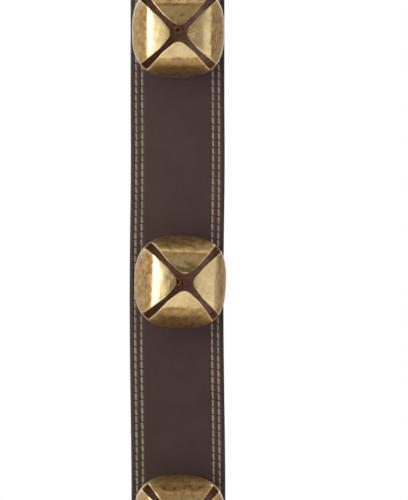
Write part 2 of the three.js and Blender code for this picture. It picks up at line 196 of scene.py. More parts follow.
def shade(piece: bpy.types.Object, crease: float) -> None:
    """Shades a piece smooth, with its edges over an angle left sharp.

    Args:
        piece: to shade.
        crease: the angle, in degrees.
    """
    piece.data.polygons.foreach_set("use_smooth", [True] * len(piece.data.polygons))
    piece.data.set_sharp_from_angle(angle=math.radians(crease))


def settle(piece: bpy.types.Object) -> None:
    """Applies a piece's modifiers to its mesh.

    Args:
        piece: with the modifiers.
    """
    graph = bpy.context.evaluated_depsgraph_get()
    rough = piece.data
    piece.data = bpy.data.meshes.new_from_object(
        piece.evaluated_get(graph), preserve_all_data_layers=True, depsgraph=graph
    )
    piece.modifiers.clear()
    bpy.data.meshes.remove(rough)


def cut(piece: bpy.types.Object, cutters: MeshDraft) -> None:
    """Cuts closed shapes out of a piece.

    Args:
        piece: to cut.
        cutters: the shapes, none of which touch each other.
    """
    tool = cutters.to_object("cutter")
    change = piece.modifiers.new("cut", "BOOLEAN")
    change.operation = "DIFFERENCE"
    change.solver = "EXACT"
    change.object = tool
    settle(piece)
    bpy.data.meshes.remove(tool.data)


def circle(count: int) -> np.ndarray:
    """Evenly spaced angles round a circle."""
    return np.arange(count) * (2 * math.pi / count)


def lathe(profile: np.ndarray, sides: int) -> np.ndarray:
    """A surface turned about the Y axis.

    Args:
        profile: points of radius and Y.
        sides: points in each ring.

    Returns:
        A grid of rings.
    """
    angle = circle(sides)
    radius = profile[:, :1]
    level = np.repeat(profile[:, 1:2], sides, axis=1)
    return np.stack([radius * np.cos(angle), level, radius * np.sin(angle)], axis=-1)


def stand_up(flat: np.ndarray, y: np.ndarray | float = 0.0) -> np.ndarray:
    """Points of X and Z, at their places along Y."""
    return np.stack([flat[..., 0], np.broadcast_to(y, flat.shape[:-1]), flat[..., 1]], axis=-1)


def tube(path: np.ndarray, section: np.ndarray, closed: bool = False) -> np.ndarray:
    """A section swept along a path of one Y.

    Args:
        path: points along the middle.
        section: points across the path and along Y.
        closed: whether the path meets its own start.

    Returns:
        A grid with one row for each path point.
    """
    up = np.array([0.0, 1.0, 0.0])
    if closed:
        along = np.roll(path, -1, axis=0) - np.roll(path, 1, axis=0)
    else:
        along = np.gradient(path, axis=0)
    along /= np.linalg.norm(along, axis=1, keepdims=True)
    across = np.cross(along, up)
    return path[:, None] + across[:, None] * section[:, :1] + up * section[:, 1:]


def round_section(radius: float, sides: int) -> np.ndarray:
    """A round section for a tube."""
    angle = circle(sides)
    return radius * np.stack([np.cos(angle), np.sin(angle)], axis=-1)


def arc(centre: Ends, radius: float, start: float, end: float, steps: int) -> np.ndarray:
    """Points of an arc in a plane.

    Args:
        centre: of the arc.
        radius: of the arc.
        start: first angle.
        end: last angle.
        steps: number of equal parts.

    Returns:
        One more point than steps.
    """
    angle = np.linspace(start, end, steps + 1)
    return np.stack([centre[0] + radius * np.cos(angle), centre[1] + radius * np.sin(angle)], axis=-1)


def bow(start: Ends, corner: Ends, end: Ends, points: int = 200) -> np.ndarray:
    """A curve that leaves its start towards a corner and reaches its end from it.

    Args:
        start: first point.
        corner: where the two directions cross.
        end: last point.
        points: how many to give.

    Returns:
        Points along the curve.
    """
    share = np.linspace(0, 1, points)[:, None]
    first, second, third = (np.asarray(point, dtype=float) for point in (start, corner, end))
    return (1 - share) ** 2 * first + 2 * share * (1 - share) * second + share**2 * third


def evenly(line: np.ndarray, count: int) -> np.ndarray:
    """Points at even steps along a line."""
    length = np.append(0, np.cumsum(np.linalg.norm(np.diff(line, axis=0), axis=1)))
    return np.stack([np.interp(np.linspace(0, length[-1], count), length, part) for part in line.T], axis=-1)


def ripple(points: np.ndarray, length: float, seed: int) -> np.ndarray:
    """Smooth unevenness, from a few waves in mixed directions.

    Args:
        points: places to read it at.
        length: of the longest wave.
        seed: picks the waves.

    Returns:
        A value from about -1 to 1 for each point.
    """
    draw = np.random.default_rng(seed)
    total = np.zeros(points.shape[:-1])
    for octave in RIPPLE_OCTAVES:
        way = draw.normal(size=3)
        way *= 2 * math.pi * octave / (length * np.linalg.norm(way))
        total += np.sin(points @ way + draw.uniform(0, 2 * math.pi)) / octave
    return total / RIPPLE_RANGE


def place(piece: bpy.types.Object, body: str, slot: Slot, node: str, *materials: bpy.types.Material) -> None:
    """Dresses a finished piece and puts it on its body, in the place of a CAD node.

    Args:
        piece: the new piece.
        body: that it moves with.
        slot: material slot of the record; not used.
        node: CAD node that it stands for.
        materials: that the piece doesn't have yet.
    """
    for material in materials:
        piece.data.materials.append(material)
    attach(piece, body)
    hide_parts(node)
    log.info("%s: %d faces, on %s", piece.name, len(piece.data.polygons), body)


# Shader trees


@dataclass(frozen=True)
class Waves:
    """A kind of noise: its scale beside that of its effect, its octaves and how rough they make it."""

    scale: float = 1.0
    detail: float = 3.0
    roughness: float = 0.5


class ShaderTree:
    """A node tree with short ways to add and join nodes."""

    def __init__(self, tree: bpy.types.NodeTree) -> None:
        """Wraps a tree."""
        self.tree = tree

    def add(self, kind: str, inputs: dict | None = None, **settings: object) -> bpy.types.Node:
        """Adds a node.

        Args:
            kind: node type, without its ShaderNode prefix.
            inputs: a value for a socket, or another node's socket to join to it, by name or number.
            settings: node properties.

        Returns:
            The new node.
        """
        node = self.tree.nodes.new("ShaderNode" + kind)
        for name, value in settings.items():
            setattr(node, name, value)
        for name, value in (inputs or {}).items():
            if isinstance(value, bpy.types.NodeSocket):
                self.tree.links.new(value, node.inputs[name])
            else:
                node.inputs[name].default_value = value
        return node

    def math(self, operation: str, *values: object, clamp: bool = False) -> bpy.types.NodeSocket:
        """A Math node's result.

        Args:
            operation: of the node.
            values: numbers or sockets.
            clamp: whether the result stays between 0 and 1.

        Returns:
            The socket of the result.
        """
        node = self.add("Math", dict(enumerate(values)), operation=operation, use_clamp=clamp)
        return node.outputs[0]

    def times(self, first: object, second: object) -> bpy.types.NodeSocket:
        """Two numbers or sockets multiplied."""
        return self.math("MULTIPLY", first, second)

    def ramp(self, value: object, start: float, rise: float) -> bpy.types.NodeSocket:
        """A start, and a rise in step with a value."""
        return self.math("MULTIPLY_ADD", value, rise, start)

    def span(self, value: object, ends: Ends, results: Ends = (0.0, 1.0)) -> bpy.types.NodeSocket:
        """Maps one range onto another, smoothly.

        Args:
            value: socket to read.
            ends: of the range that is read.
            results: at those ends.

        Returns:
            The socket of the result.
        """
        names = ("From Min", "From Max", "To Min", "To Max")
        inputs = {"Value": value, **dict(zip(names, (*ends, *results)))}
        return self.add("MapRange", inputs, interpolation_type="SMOOTHSTEP").outputs["Result"]

    def mix(self, share: object, first: object, second: object) -> bpy.types.NodeSocket:
        """Mixes two colours.

        Args:
            share: of the second.
            first: colour or socket.
            second: colour or socket.

        Returns:
            The socket of the result.
        """
        first, second = ((*paint, 1.0) if isinstance(paint, tuple) else paint for paint in (first, second))
        return self.add("Mix", {0: share, 6: first, 7: second}, data_type="RGBA").outputs[2]

    def noise(self, scale: object, waves: Waves, at: object = None) -> bpy.types.NodeSocket:
        """A noise texture's value.

        Args:
            scale: of the effect, in waves to a metre.
            waves: the kind of noise.
            at: texture coordinates, or None for the places on the object.

        Returns:
            The socket of the value.
        """
        sockets = {
            "Vector": self.here() if at is None else at,
            "Scale": scale * waves.scale if isinstance(scale, float) else self.times(scale, waves.scale),
            "Detail": waves.detail,
            "Roughness": waves.roughness,
        }
        return self.add("TexNoise", sockets).outputs[0]

    def bump(self, height: object, depth: float) -> bpy.types.NodeSocket:
        """A normal that follows a height, over a depth in metres."""
        return self.add("Bump", {"Strength": 1.0, "Distance": depth, "Height": height}).outputs[0]

    def here(self) -> bpy.types.NodeSocket:
        """Places on the object, in metres."""
        return self.add("TexCoord").outputs["Object"]

    def mask(self, name: str) -> bpy.types.NodeSocket:
        """A point mask of the mesh."""
        return self.add("Attribute", attribute_name=name).outputs["Fac"]


class EffectGroup:
    """A shader node group that several finishes share."""

    def __init__(self, name: str, inputs: dict[str, float], outputs: tuple[str, ...]) -> None:
        """Makes an empty group.

        Args:
            name: of the group.
            inputs: default values by name.
            outputs: names of the values that it puts out.
        """
        self.group = bpy.data.node_groups.new(name, "ShaderNodeTree")
        for socket, value in inputs.items():
            made = self.group.interface.new_socket(socket, in_out="INPUT", socket_type="NodeSocketFloat")
            made.default_value = value
        for socket in outputs:
            self.group.interface.new_socket(socket, in_out="OUTPUT", socket_type="NodeSocketFloat")
        self.shader = ShaderTree(self.group)
        self.given = self.group.nodes.new("NodeGroupInput").outputs
        self.result = self.group.nodes.new("NodeGroupOutput").inputs

    def put(self, name: str, socket: bpy.types.NodeSocket) -> None:
        """Joins a socket to one of the group's outputs."""
        self.group.links.new(socket, self.result[name])

    def place(self, shader: ShaderTree, **values: float) -> bpy.types.bpy_prop_collection:
        """Puts the group in a material.

        Args:
            shader: the material's tree.
            values: of the group's inputs.

        Returns:
            The group's outputs.
        """
        return shader.add("Group", values, node_tree=self.group).outputs


class TarnishGroup(EffectGroup):
    """Tarnish on metal: a soft film, ragged mottling and fine specks."""

    film_waves = Waves(0.3)
    mottle_waves = Waves(1.0, 5.0, 0.68)
    speck_waves = Waves(3.4, 3.0, 0.7)
    film_ends = (0.32, 0.70)
    mottle_ends = (-0.19, 0.17)
    speck_ends = (0.55, 0.70)
    bare_level = 0.74
    spread_share = 0.44
    speck_height = 0.4

    def __init__(self) -> None:
        """Builds the group."""
        super().__init__("tarnish", {"Size": 3 * MM, "Spread": 0.5}, ("Film", "Mottle", "Speck", "Height"))
        tree = self.shader
        scale = tree.math("DIVIDE", 1.0, self.given["Size"])
        film = tree.noise(scale, self.film_waves)
        mottle = tree.noise(scale, self.mottle_waves)
        speck = tree.noise(scale, self.speck_waves)
        level = tree.ramp(self.given["Spread"], self.bare_level, -self.spread_share)
        self.put("Film", tree.span(film, self.film_ends))
        self.put("Mottle", tree.span(tree.math("SUBTRACT", mottle, level), self.mottle_ends))
        self.put("Speck", tree.span(speck, self.speck_ends))
        pits = tree.times(mottle, 1 - self.speck_height)
        self.put("Height", tree.math("MULTIPLY_ADD", speck, self.speck_height, pits))


class RubbedGroup(EffectGroup):
    """Fine hairlines from handling, in two directions, each with its turn about Y and its stretch."""

    ways = ((0.6, 0.06), (-0.9, 0.09))
    tilt = (0.3, 0.2)
    hair_waves = Waves(detail=2.0)

    def __init__(self) -> None:
        """Builds the group."""
        super().__init__("rubbed", {"Size": 0.6 * MM}, ("Height",))
        tree = self.shader
        scale = tree.math("DIVIDE", 1.0, self.given["Size"])
        sets = []
        for turn, stretch in self.ways:
            rotation = (self.tilt[0], turn, self.tilt[1])
            inputs = {"Vector": tree.here(), "Rotation": rotation, "Scale": (1.0, 1.0, stretch)}
            sets.append(tree.noise(scale, self.hair_waves, tree.add("Mapping", inputs).outputs[0]))
        self.put("Height", tree.times(*sets))


class GrainGroup(EffectGroup):
    """Pebbled grain, pores and tone of leather."""

    bend_waves = Waves(0.5, 2.0)
    fine_waves = Waves(3.1)
    tone_waves = Waves(0.045, 4.0, 0.6)
    bend = (0.8 * MM, 0.8 * MM, 0.8 * MM)
    pebble_ends = (0.1, 0.75)
    pore_ends = (0.60, 0.72)
    fine_height = 0.45

    def __init__(self) -> None:
        """Builds the group."""
        super().__init__("grain", {"Size": 1.1 * MM}, ("Height", "Tone", "Pore"))
        tree = self.shader
        scale = tree.math("DIVIDE", 1.0, self.given["Size"])
        bent = {0: tree.noise(scale, self.bend_waves), 1: self.bend, 2: tree.here()}
        moved = tree.add("VectorMath", bent, operation="MULTIPLY_ADD").outputs[0]
        cells = tree.add("TexVoronoi", {"Vector": moved, "Scale": scale}, feature="SMOOTH_F1")
        pebble = tree.span(cells.outputs["Distance"], self.pebble_ends, (1.0, 0.0))
        fine = tree.noise(scale, self.fine_waves)
        rest = tree.times(pebble, 1 - self.fine_height)
        self.put("Height", tree.math("MULTIPLY_ADD", fine, self.fine_height, rest))
        self.put("Tone", tree.noise(scale, self.tone_waves))
        self.put("Pore", tree.span(fine, self.pore_ends))


# Finishes


@dataclass(frozen=True)
class Finish:
    """A named material with a Principled shader."""

    name: str

    def material(self) -> bpy.types.Material:
        """Makes the material.

        Returns:
            The new material.
        """
        material = bpy.data.materials.new(self.name)
        material.use_nodes = True
        material.node_tree.nodes.clear()
        tree = ShaderTree(material.node_tree)
        shader = tree.add("BsdfPrincipled", self.sockets(tree))
        tree.add("OutputMaterial", {0: shader.outputs[0]})
        return material

    def sockets(self, tree: ShaderTree) -> dict[str, object]:
        """Makes the finish's own nodes.

        Args:
            tree: of the material.

        Returns:
            A value or a socket for each input of the shader that the finish sets.
        """
        raise NotImplementedError


@dataclass(frozen=True)
class MetalFinish(Finish):
    """Metal with a film, mottling and specks of tarnish, all heavier where the mesh is marked as aged.

    A pair of shares or heights is its start on bare metal and its rise to where the tarnish is heaviest.
    """

    bright: Colour
    dull: Colour
    dark: Colour
    smooth: float
    rough: float
    mottle_size: float
    spread: float
    rim_shine: float
    dent_depth: float
    metallic: float
    aged_metallic: float
    tarnish: TarnishGroup
    rubbed: RubbedGroup
    hair_size: float = 0.7 * MM
    hair_height: float = 0.15
    ragged: float = 0.35
    aged_ends: Ends = (0.25, 1.05)
    film_share: float = 0.45
    film_heights: Ends = (0.35, 0.65)
    stain_shares: Ends = (0.22, 0.46)
    speck_shares: Ends = (0.16, 0.26)
    grime_ends: Ends = (1.0, 2.0)
    grime_share: float = 0.9
    grime_mottle: Ends = (0.5, 0.7)

    def sockets(self, tree: ShaderTree) -> dict[str, object]:
        """Makes nodes for tarnish, specks, grime and hairlines.

        Args:
            tree: of the material.

        Returns:
            A value or a socket for each input of the shader that the finish sets.
        """
        marks = self.tarnish.place(tree, Size=self.mottle_size, Spread=self.spread)
        hairs = self.rubbed.place(tree, Size=self.hair_size)
        marked = tree.mask("aged")
        worn = tree.ramp(tree.mask("rim"), 1.0, -self.rim_shine)
        ragged = tree.math("MULTIPLY_ADD", marks["Mottle"], self.ragged, marked)
        aged = tree.times(tree.span(ragged, self.aged_ends), worn)
        film = tree.times(tree.times(marks["Film"], self.film_share), worn)
        cover = tree.math("MAXIMUM", aged, film)
        stain = tree.times(marks["Mottle"], tree.ramp(aged, *self.stain_shares))
        speck = tree.times(marks["Speck"], tree.ramp(aged, *self.speck_shares))
        grime = tree.span(marked, self.grime_ends, (0.0, self.grime_share))
        grime = tree.math("MULTIPLY", grime, tree.ramp(marks["Mottle"], *self.grime_mottle), clamp=True)
        stain = tree.times(tree.math("MAXIMUM", tree.math("MAXIMUM", stain, speck), grime), worn)
        height = tree.times(marks["Height"], tree.ramp(cover, *self.film_heights))
        height = tree.math("MULTIPLY_ADD", hairs["Height"], self.hair_height, height)
        metallic = self.metallic
        if self.aged_metallic != self.metallic:
            metallic = tree.span(aged, (0.0, 1.0), (self.metallic, self.aged_metallic))
        return {
            "Base Color": tree.mix(stain, tree.mix(cover, self.bright, self.dull), self.dark),
            "Roughness": tree.span(tree.math("MAXIMUM", cover, stain), (0.0, 1.0), (self.smooth, self.rough)),
            "Metallic": metallic,
            "Normal": tree.bump(height, self.dent_depth),
        }


@dataclass(frozen=True)
class LeatherFinish(Finish):
    """Harness leather: pebbled grain, waxed rows that are darkest at their holes as painted shade, burnished
    edges, and painted shade that darkens it towards the bottom.
    """

    face: Colour
    deep: Colour
    # Dark colour of burnished edges and waxed rows, and of the painted shade at the holes and towards the
    # bottom.
    burnish_and_shade: Colour
    dust: Colour
    smooth: float
    rough: float
    grain_depth: float
    grain: GrainGroup
    grain_size: float = 1.0 * MM
    tone_ends: Ends = (0.32, 0.68)
    tone_shine: float = 0.35
    pore_share: float = 0.55
    # Heights over which the painted shade towards the bottom fades in, and its share.
    low_shade_ends: Ends = (-330 * MM, -235 * MM)
    low_shade_share: float = 0.4
    edge_share: float = 0.85
    edge_calm: float = 0.7
    row_share: float = 0.55
    specular: float = 0.4

    def sockets(self, tree: ShaderTree) -> dict[str, object]:
        """Makes nodes for grain, tone, burnish, wax, and painted shade at the stitch holes and towards the
        bottom.

        Args:
            tree: of the material.

        Returns:
            A value or a socket for each input of the shader that the finish sets.
        """
        grain = self.grain.place(tree, Size=self.grain_size)
        edge = tree.mask("edge")
        tone = tree.span(grain["Tone"], self.tone_ends)
        up = tree.add("SeparateXYZ", {0: tree.here()}).outputs[2]
        colour = tree.mix(tone, self.deep, self.face)
        colour = tree.mix(tree.times(grain["Pore"], self.pore_share), colour, self.dust)
        # Painted shade: the leather is darkened towards the bottom, where less light falls.
        low_shade = tree.span(up, self.low_shade_ends, (self.low_shade_share, 0.0))
        # Wax in the stitch rows, with painted shade at their holes.
        wax_and_hole_shade = tree.times(tree.mask("row"), self.row_share)
        # Darkens towards the burnish colour: painted shade towards the bottom, burnished edges, and wax with
        # painted shade at the holes.
        for share in (low_shade, tree.times(edge, self.edge_share), wax_and_hole_shade):
            colour = tree.mix(share, colour, self.burnish_and_shade)
        worn = tree.math("MAXIMUM", edge, tree.times(tone, self.tone_shine))
        height = tree.times(grain["Height"], tree.ramp(edge, 1.0, -self.edge_calm))
        return {
            "Base Color": colour,
            "Roughness": tree.span(worn, (0.0, 1.0), (self.rough, self.smooth)),
            "Specular IOR Level": self.specular,
            "Normal": tree.bump(height, self.grain_depth),
        }


@dataclass(frozen=True)
class ThreadFinish(Finish):
    """Waxed, twisted thread that has picked up some dirt, with painted shade where it dives into its holes.
    """

    clean: Colour
    # Colour of the soil and of the painted shade at the holes.
    darkened: Colour
    fibre: float
    tarnish: TarnishGroup
    soil_size: float = 6 * MM
    soil_spread: float = 0.5
    soil_share: float = 0.6
    fibre_waves: Waves = Waves(detail=2.0)
    fibre_depth: float = 0.06 * MM
    fibre_ends: Ends = (0.3, 0.7)
    roughnesses: Ends = (0.55, 0.8)

    def sockets(self, tree: ShaderTree) -> dict[str, object]:
        """Makes nodes for soil, painted shade at the holes, and fibre.

        Args:
            tree: of the material.

        Returns:
            A value or a socket for each input of the shader that the finish sets.
        """
        soil = self.tarnish.place(tree, Size=self.soil_size, Spread=self.soil_spread)
        fibres = tree.noise(1.0 / self.fibre, self.fibre_waves)
        # Painted shade: the thread darkens where it dives into its holes, beside the soil mottling.
        share = tree.math("MAXIMUM", tree.times(soil["Mottle"], self.soil_share), tree.mask("hole"))
        return {
            "Base Color": tree.mix(share, self.clean, self.darkened),
            "Roughness": tree.span(fibres, self.fibre_ends, self.roughnesses),
            "Normal": tree.bump(fibres, self.fibre_depth),
        }


@dataclass(frozen=True)
class FloorFinish(Finish):
    """Plain pale floor with a barely uneven tone, which shines in what the metal mirrors."""

    pale: Colour = (0.86, 0.86, 0.85)
    shade: Colour = (0.80, 0.80, 0.79)
    glow: Colour = (0.38, 0.37, 0.34)
    lift: Colour = (0.28, 0.285, 0.30)
    tone_scale: float = 3.0
    roughness: float = 0.8
    glow_ends: Ends = (-0.26, -0.12)
    glow_shares: Ends = (1.0, 0.3)

    def sockets(self, tree: ShaderTree) -> dict[str, object]:
        """Makes nodes for tone and shine.

        Args:
            tree: of the material.

        Returns:
            A value or a socket for each input of the shader that the finish sets.
        """
        rays = tree.add("LightPath").outputs
        ahead = tree.add("SeparateXYZ", {0: tree.here()}).outputs[1]
        lit = tree.times(rays["Is Glossy Ray"], tree.span(ahead, self.glow_ends, self.glow_shares))
        glow = tree.mix(lit, (0.0, 0.0, 0.0), self.glow)
        return {
            "Base Color": tree.mix(tree.noise(self.tone_scale, Waves()), self.pale, self.shade),
            "Roughness": self.roughness,
            "Emission Color": tree.mix(rays["Is Camera Ray"], glow, self.lift),
            "Emission Strength": 1.0,
        }


class Finishes:
    """The hanger's materials, each made once."""

    def __init__(self) -> None:
        """Makes the shared groups and every material."""
        tarnish = TarnishGroup()
        marks = {"tarnish": tarnish, "rubbed": RubbedGroup()}
        self.brass = MetalFinish(
            "aged_polished_brass",
            bright=(0.72, 0.58, 0.318), dull=(0.525, 0.345, 0.138), dark=(0.122, 0.054, 0.021),
            smooth=0.13, rough=0.38, mottle_size=3.1 * MM, spread=0.47, rim_shine=0.75, dent_depth=0.08 * MM,
            metallic=1.0, aged_metallic=0.88, **marks,
        ).material()
        self.brass_inside = MetalFinish(
            "dark_brass_inside",
            bright=(0.86, 0.58, 0.46), dull=(0.66, 0.42, 0.32), dark=(0.34, 0.21, 0.16),
            smooth=0.24, rough=0.50, mottle_size=5.0 * MM, spread=0.50, rim_shine=0.0, dent_depth=0.10 * MM,
            metallic=0.50, aged_metallic=0.50, **marks,
        ).material()
        self.shank_brass = MetalFinish(
            "brown_brass_shank",
            bright=(0.76, 0.50, 0.28), dull=(0.62, 0.38, 0.20), dark=(0.30, 0.17, 0.09),
            smooth=0.32, rough=0.55, mottle_size=2.0 * MM, spread=0.50, rim_shine=0.0, dent_depth=0.05 * MM,
            metallic=0.45, aged_metallic=0.45, **marks,
        ).material()
        self.aged_brass = MetalFinish(
            "aged_satin_brass",
            bright=(0.52, 0.37, 0.15), dull=(0.34, 0.23, 0.09), dark=(0.12, 0.075, 0.033),
            smooth=0.27, rough=0.50, mottle_size=3.0 * MM, spread=0.50, rim_shine=0.5, dent_depth=0.06 * MM,
            metallic=0.85, aged_metallic=0.85, **marks,
        ).material()
        self.steel = MetalFinish(
            "plain_steel",
            bright=(0.50, 0.50, 0.51), dull=(0.36, 0.35, 0.34), dark=(0.17, 0.12, 0.09),
            smooth=0.26, rough=0.48, mottle_size=2.5 * MM, spread=0.38, rim_shine=0.5, dent_depth=0.05 * MM,
            metallic=1.0, aged_metallic=1.0, **marks,
        ).material()
        self.leather = LeatherFinish(
            "dark_harness_leather",
            face=(0.050, 0.0263, 0.0238), deep=(0.0415, 0.0214, 0.0193),
            burnish_and_shade=(0.0245, 0.0115, 0.0095), dust=(0.070, 0.042, 0.037),
            smooth=0.42, rough=0.62, grain_depth=0.11 * MM, grain=GrainGroup(),
        ).material()
        self.thread = ThreadFinish(
            "waxed_tan_thread",
            clean=(0.31, 0.265, 0.208), darkened=(0.155, 0.13, 0.098), fibre=0.18 * MM, tarnish=tarnish,
        ).material()


# Places in the frame


def joint_place(name: str) -> Vector:
    """Where a joint is at rest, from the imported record."""
    joints = {joint["name"]: joint for joint in frame["record"]["behaviour"]["joints"]}
    return Vector(joints[name]["pos_m"])


def box_middle(node: str) -> Vector:
    """Middle of a CAD node's box."""
    low, high = (Vector(corner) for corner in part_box(node))
    return (low + high) / 2


# Hanger ring


@dataclass
class HangerRing:
    """Welded D-ring that the strap folds over."""

    finishes: Finishes
    width: float
    bar_z: float
    wire: float = 5.0 * MM
    corner: float = 3.5 * MM
    swell: float = 0.012
    swell_length: float = 9 * MM
    seed: int = 11
    sides: int = 28
    bow_steps: int = 96
    bend_steps: int = 14
    bar_points: int = 24
    crease: float = 40.0

    def path(self) -> np.ndarray:
        """Middle line of the wire: bar, corners, sides and bow.

        Returns:
            Points of a closed path.
        """
        half_width = (self.width - self.wire) / 2
        corner_x = half_width - self.corner
        corner_z = self.bar_z + self.corner
        bar_x = np.linspace(-corner_x, corner_x, self.bar_points)
        bar = np.stack([bar_x, np.full(self.bar_points, self.bar_z)], axis=-1)
        right = arc((corner_x, corner_z), self.corner, -QUARTER, 0, self.bend_steps)
        top = arc((0, self.wire / 2 - half_width), half_width, 0, math.pi, self.bow_steps)
        left = arc((-corner_x, corner_z), self.corner, math.pi, 3 * QUARTER, self.bend_steps)
        return stand_up(np.vstack([bar[:-1], right, top, left[:-1]]))

    def build(self) -> None:
        """Builds and dresses the ring."""
        path = self.path()
        middle = path[:, None]
        grid = tube(path, round_section(self.wire / 2, self.sides), closed=True)
        size = np.minimum(1 + self.swell * ripple(grid, self.swell_length, self.seed), 1.0)
        draft = MeshDraft()
        draft.add_grid(middle + (grid - middle) * size[..., None], loop_rows=True, loop_columns=True)
        ring = draft.to_object("hanger_d_ring")
        shade(ring, self.crease)
        place(ring, "hanger_ring", Slot.AGED_BRASS, "d_ring", self.finishes.aged_brass)


# Strap


@dataclass
class StitchRow:
    """One row of stitching, which runs down one side, round the tail and up the other."""

    name: str
    inset: float
    half_length: float
    count: int

    @property
    def pitch(self) -> float:
        """Length of one stitch with its gap."""
        return 2 * self.half_length / self.count


@dataclass
class StrapForm:
    """Sizes and outline of the strap, taken from the frame."""

    width: float
    bar_z: float
    fold_inner: float
    lining_back: float
    flap_end_z: float
    lining_top_z: float
    tip_z: float
    row_top_z: float
    thickness: float = 3.6 * MM
    cement: float = 0.15 * MM
    fold_drop: float = 24 * MM
    point_length: float = 30 * MM
    row_insets: Ends = (3.0 * MM, 6.2 * MM)
    stitch: float = 4.07 * MM
    drift: float = 0.5 * MM
    drift_wave: float = 220 * MM
    drift_peak_z: float = -163 * MM
    drift_start_z: float = -170 * MM
    drift_fade: float = 60 * MM

    @property
    def half(self) -> float:
        """Half the strap's width."""
        return self.width / 2

    @property
    def shoulder_z(self) -> float:
        """Where the tail starts to narrow."""
        return self.tip_z + self.point_length

    @property
    def point_radius(self) -> float:
        """Radius of the tail's two edges."""
        return (self.point_length**2 + self.half**2) / self.width

    @property
    def panel_front(self) -> float:
        """Y of the front face."""
        return self.fold_inner - self.cement - self.thickness

    def sweep(self, inset: np.ndarray | float) -> np.ndarray:
        """Angle of the tail's arc at an inset from the edge."""
        return np.arccos((self.point_radius - self.half) / (self.point_radius - inset))

    def reach(self, inset: np.ndarray, tail: np.ndarray) -> tuple[np.ndarray, np.ndarray]:
        """Half width and drop of the outline.

        Args:
            inset: from the edge.
            tail: share of the tail's arc passed, 0 above the tail.

        Returns:
            X of the outline at that inset, and its drop below the shoulder.
        """
        angle = tail * self.sweep(inset)
        radius = self.point_radius - inset
        return radius * np.cos(angle) - (self.point_radius - self.half), radius * np.sin(angle)

    def sway(self, z: np.ndarray) -> np.ndarray:
        """Sideways drift of hand-cut leather at a height."""
        share = np.clip((self.drift_start_z - z) / self.drift_fade, 0, 1)
        return self.drift * share * np.cos(2 * math.pi * (z - self.drift_peak_z) / self.drift_wave)

    def rows(self) -> list[StitchRow]:
        """The outer and the inner row of stitching.

        Returns:
            The two rows.
        """
        found = []
        for name, inset in zip(("outer", "inner"), self.row_insets):
            bend = (self.point_radius - inset) * float(self.sweep(inset))
            half_length = self.row_top_z - self.shoulder_z + bend
            found.append(StitchRow(name, inset, half_length, 2 * round(half_length / self.stitch)))
        return found

    def row_distance(self, row: StitchRow, z: np.ndarray, tail: np.ndarray) -> np.ndarray:
        """Distance along a row from its top.

        Args:
            row: of stitching.
            z: height, at the shoulder for the tail.
            tail: share of the tail's arc passed.

        Returns:
            The distance, below zero above the row.
        """
        bend = (self.point_radius - row.inset) * self.sweep(row.inset)
        return self.row_top_z - z + tail * bend

    def row_place(self, row: StitchRow, distance: np.ndarray) -> tuple[np.ndarray, np.ndarray]:
        """Places along a row.

        Args:
            row: of stitching.
            distance: from the row's top on the left side.

        Returns:
            Points in X and Z, and the direction at each.
        """
        side = np.where(distance > row.half_length, 1.0, -1.0)
        near = np.where(side > 0, 2 * row.half_length - distance, distance)
        straight = self.row_top_z - self.shoulder_z
        radius = self.point_radius - row.inset
        angle = np.clip((near - straight) / radius, 0, None)
        x = radius * np.cos(angle) - (self.point_radius - self.half)
        z = self.row_top_z - np.minimum(near, straight) - radius * np.sin(angle)
        along = np.stack([np.sin(angle), side * np.cos(angle)], axis=-1)
        return np.stack([side * x + self.sway(z), z], axis=-1), along


@dataclass
class Stations:
    """Sections along a layer of leather: middles and normals in Y and Z, and shares of the tail's arc."""

    middle: np.ndarray
    normal: np.ndarray
    tail: np.ndarray

    @staticmethod
    def joined(parts: list[Run]) -> Stations:
        """Joins runs of stations into one."""
        return Stations(*(np.concatenate(columns) for columns in zip(*parts)))


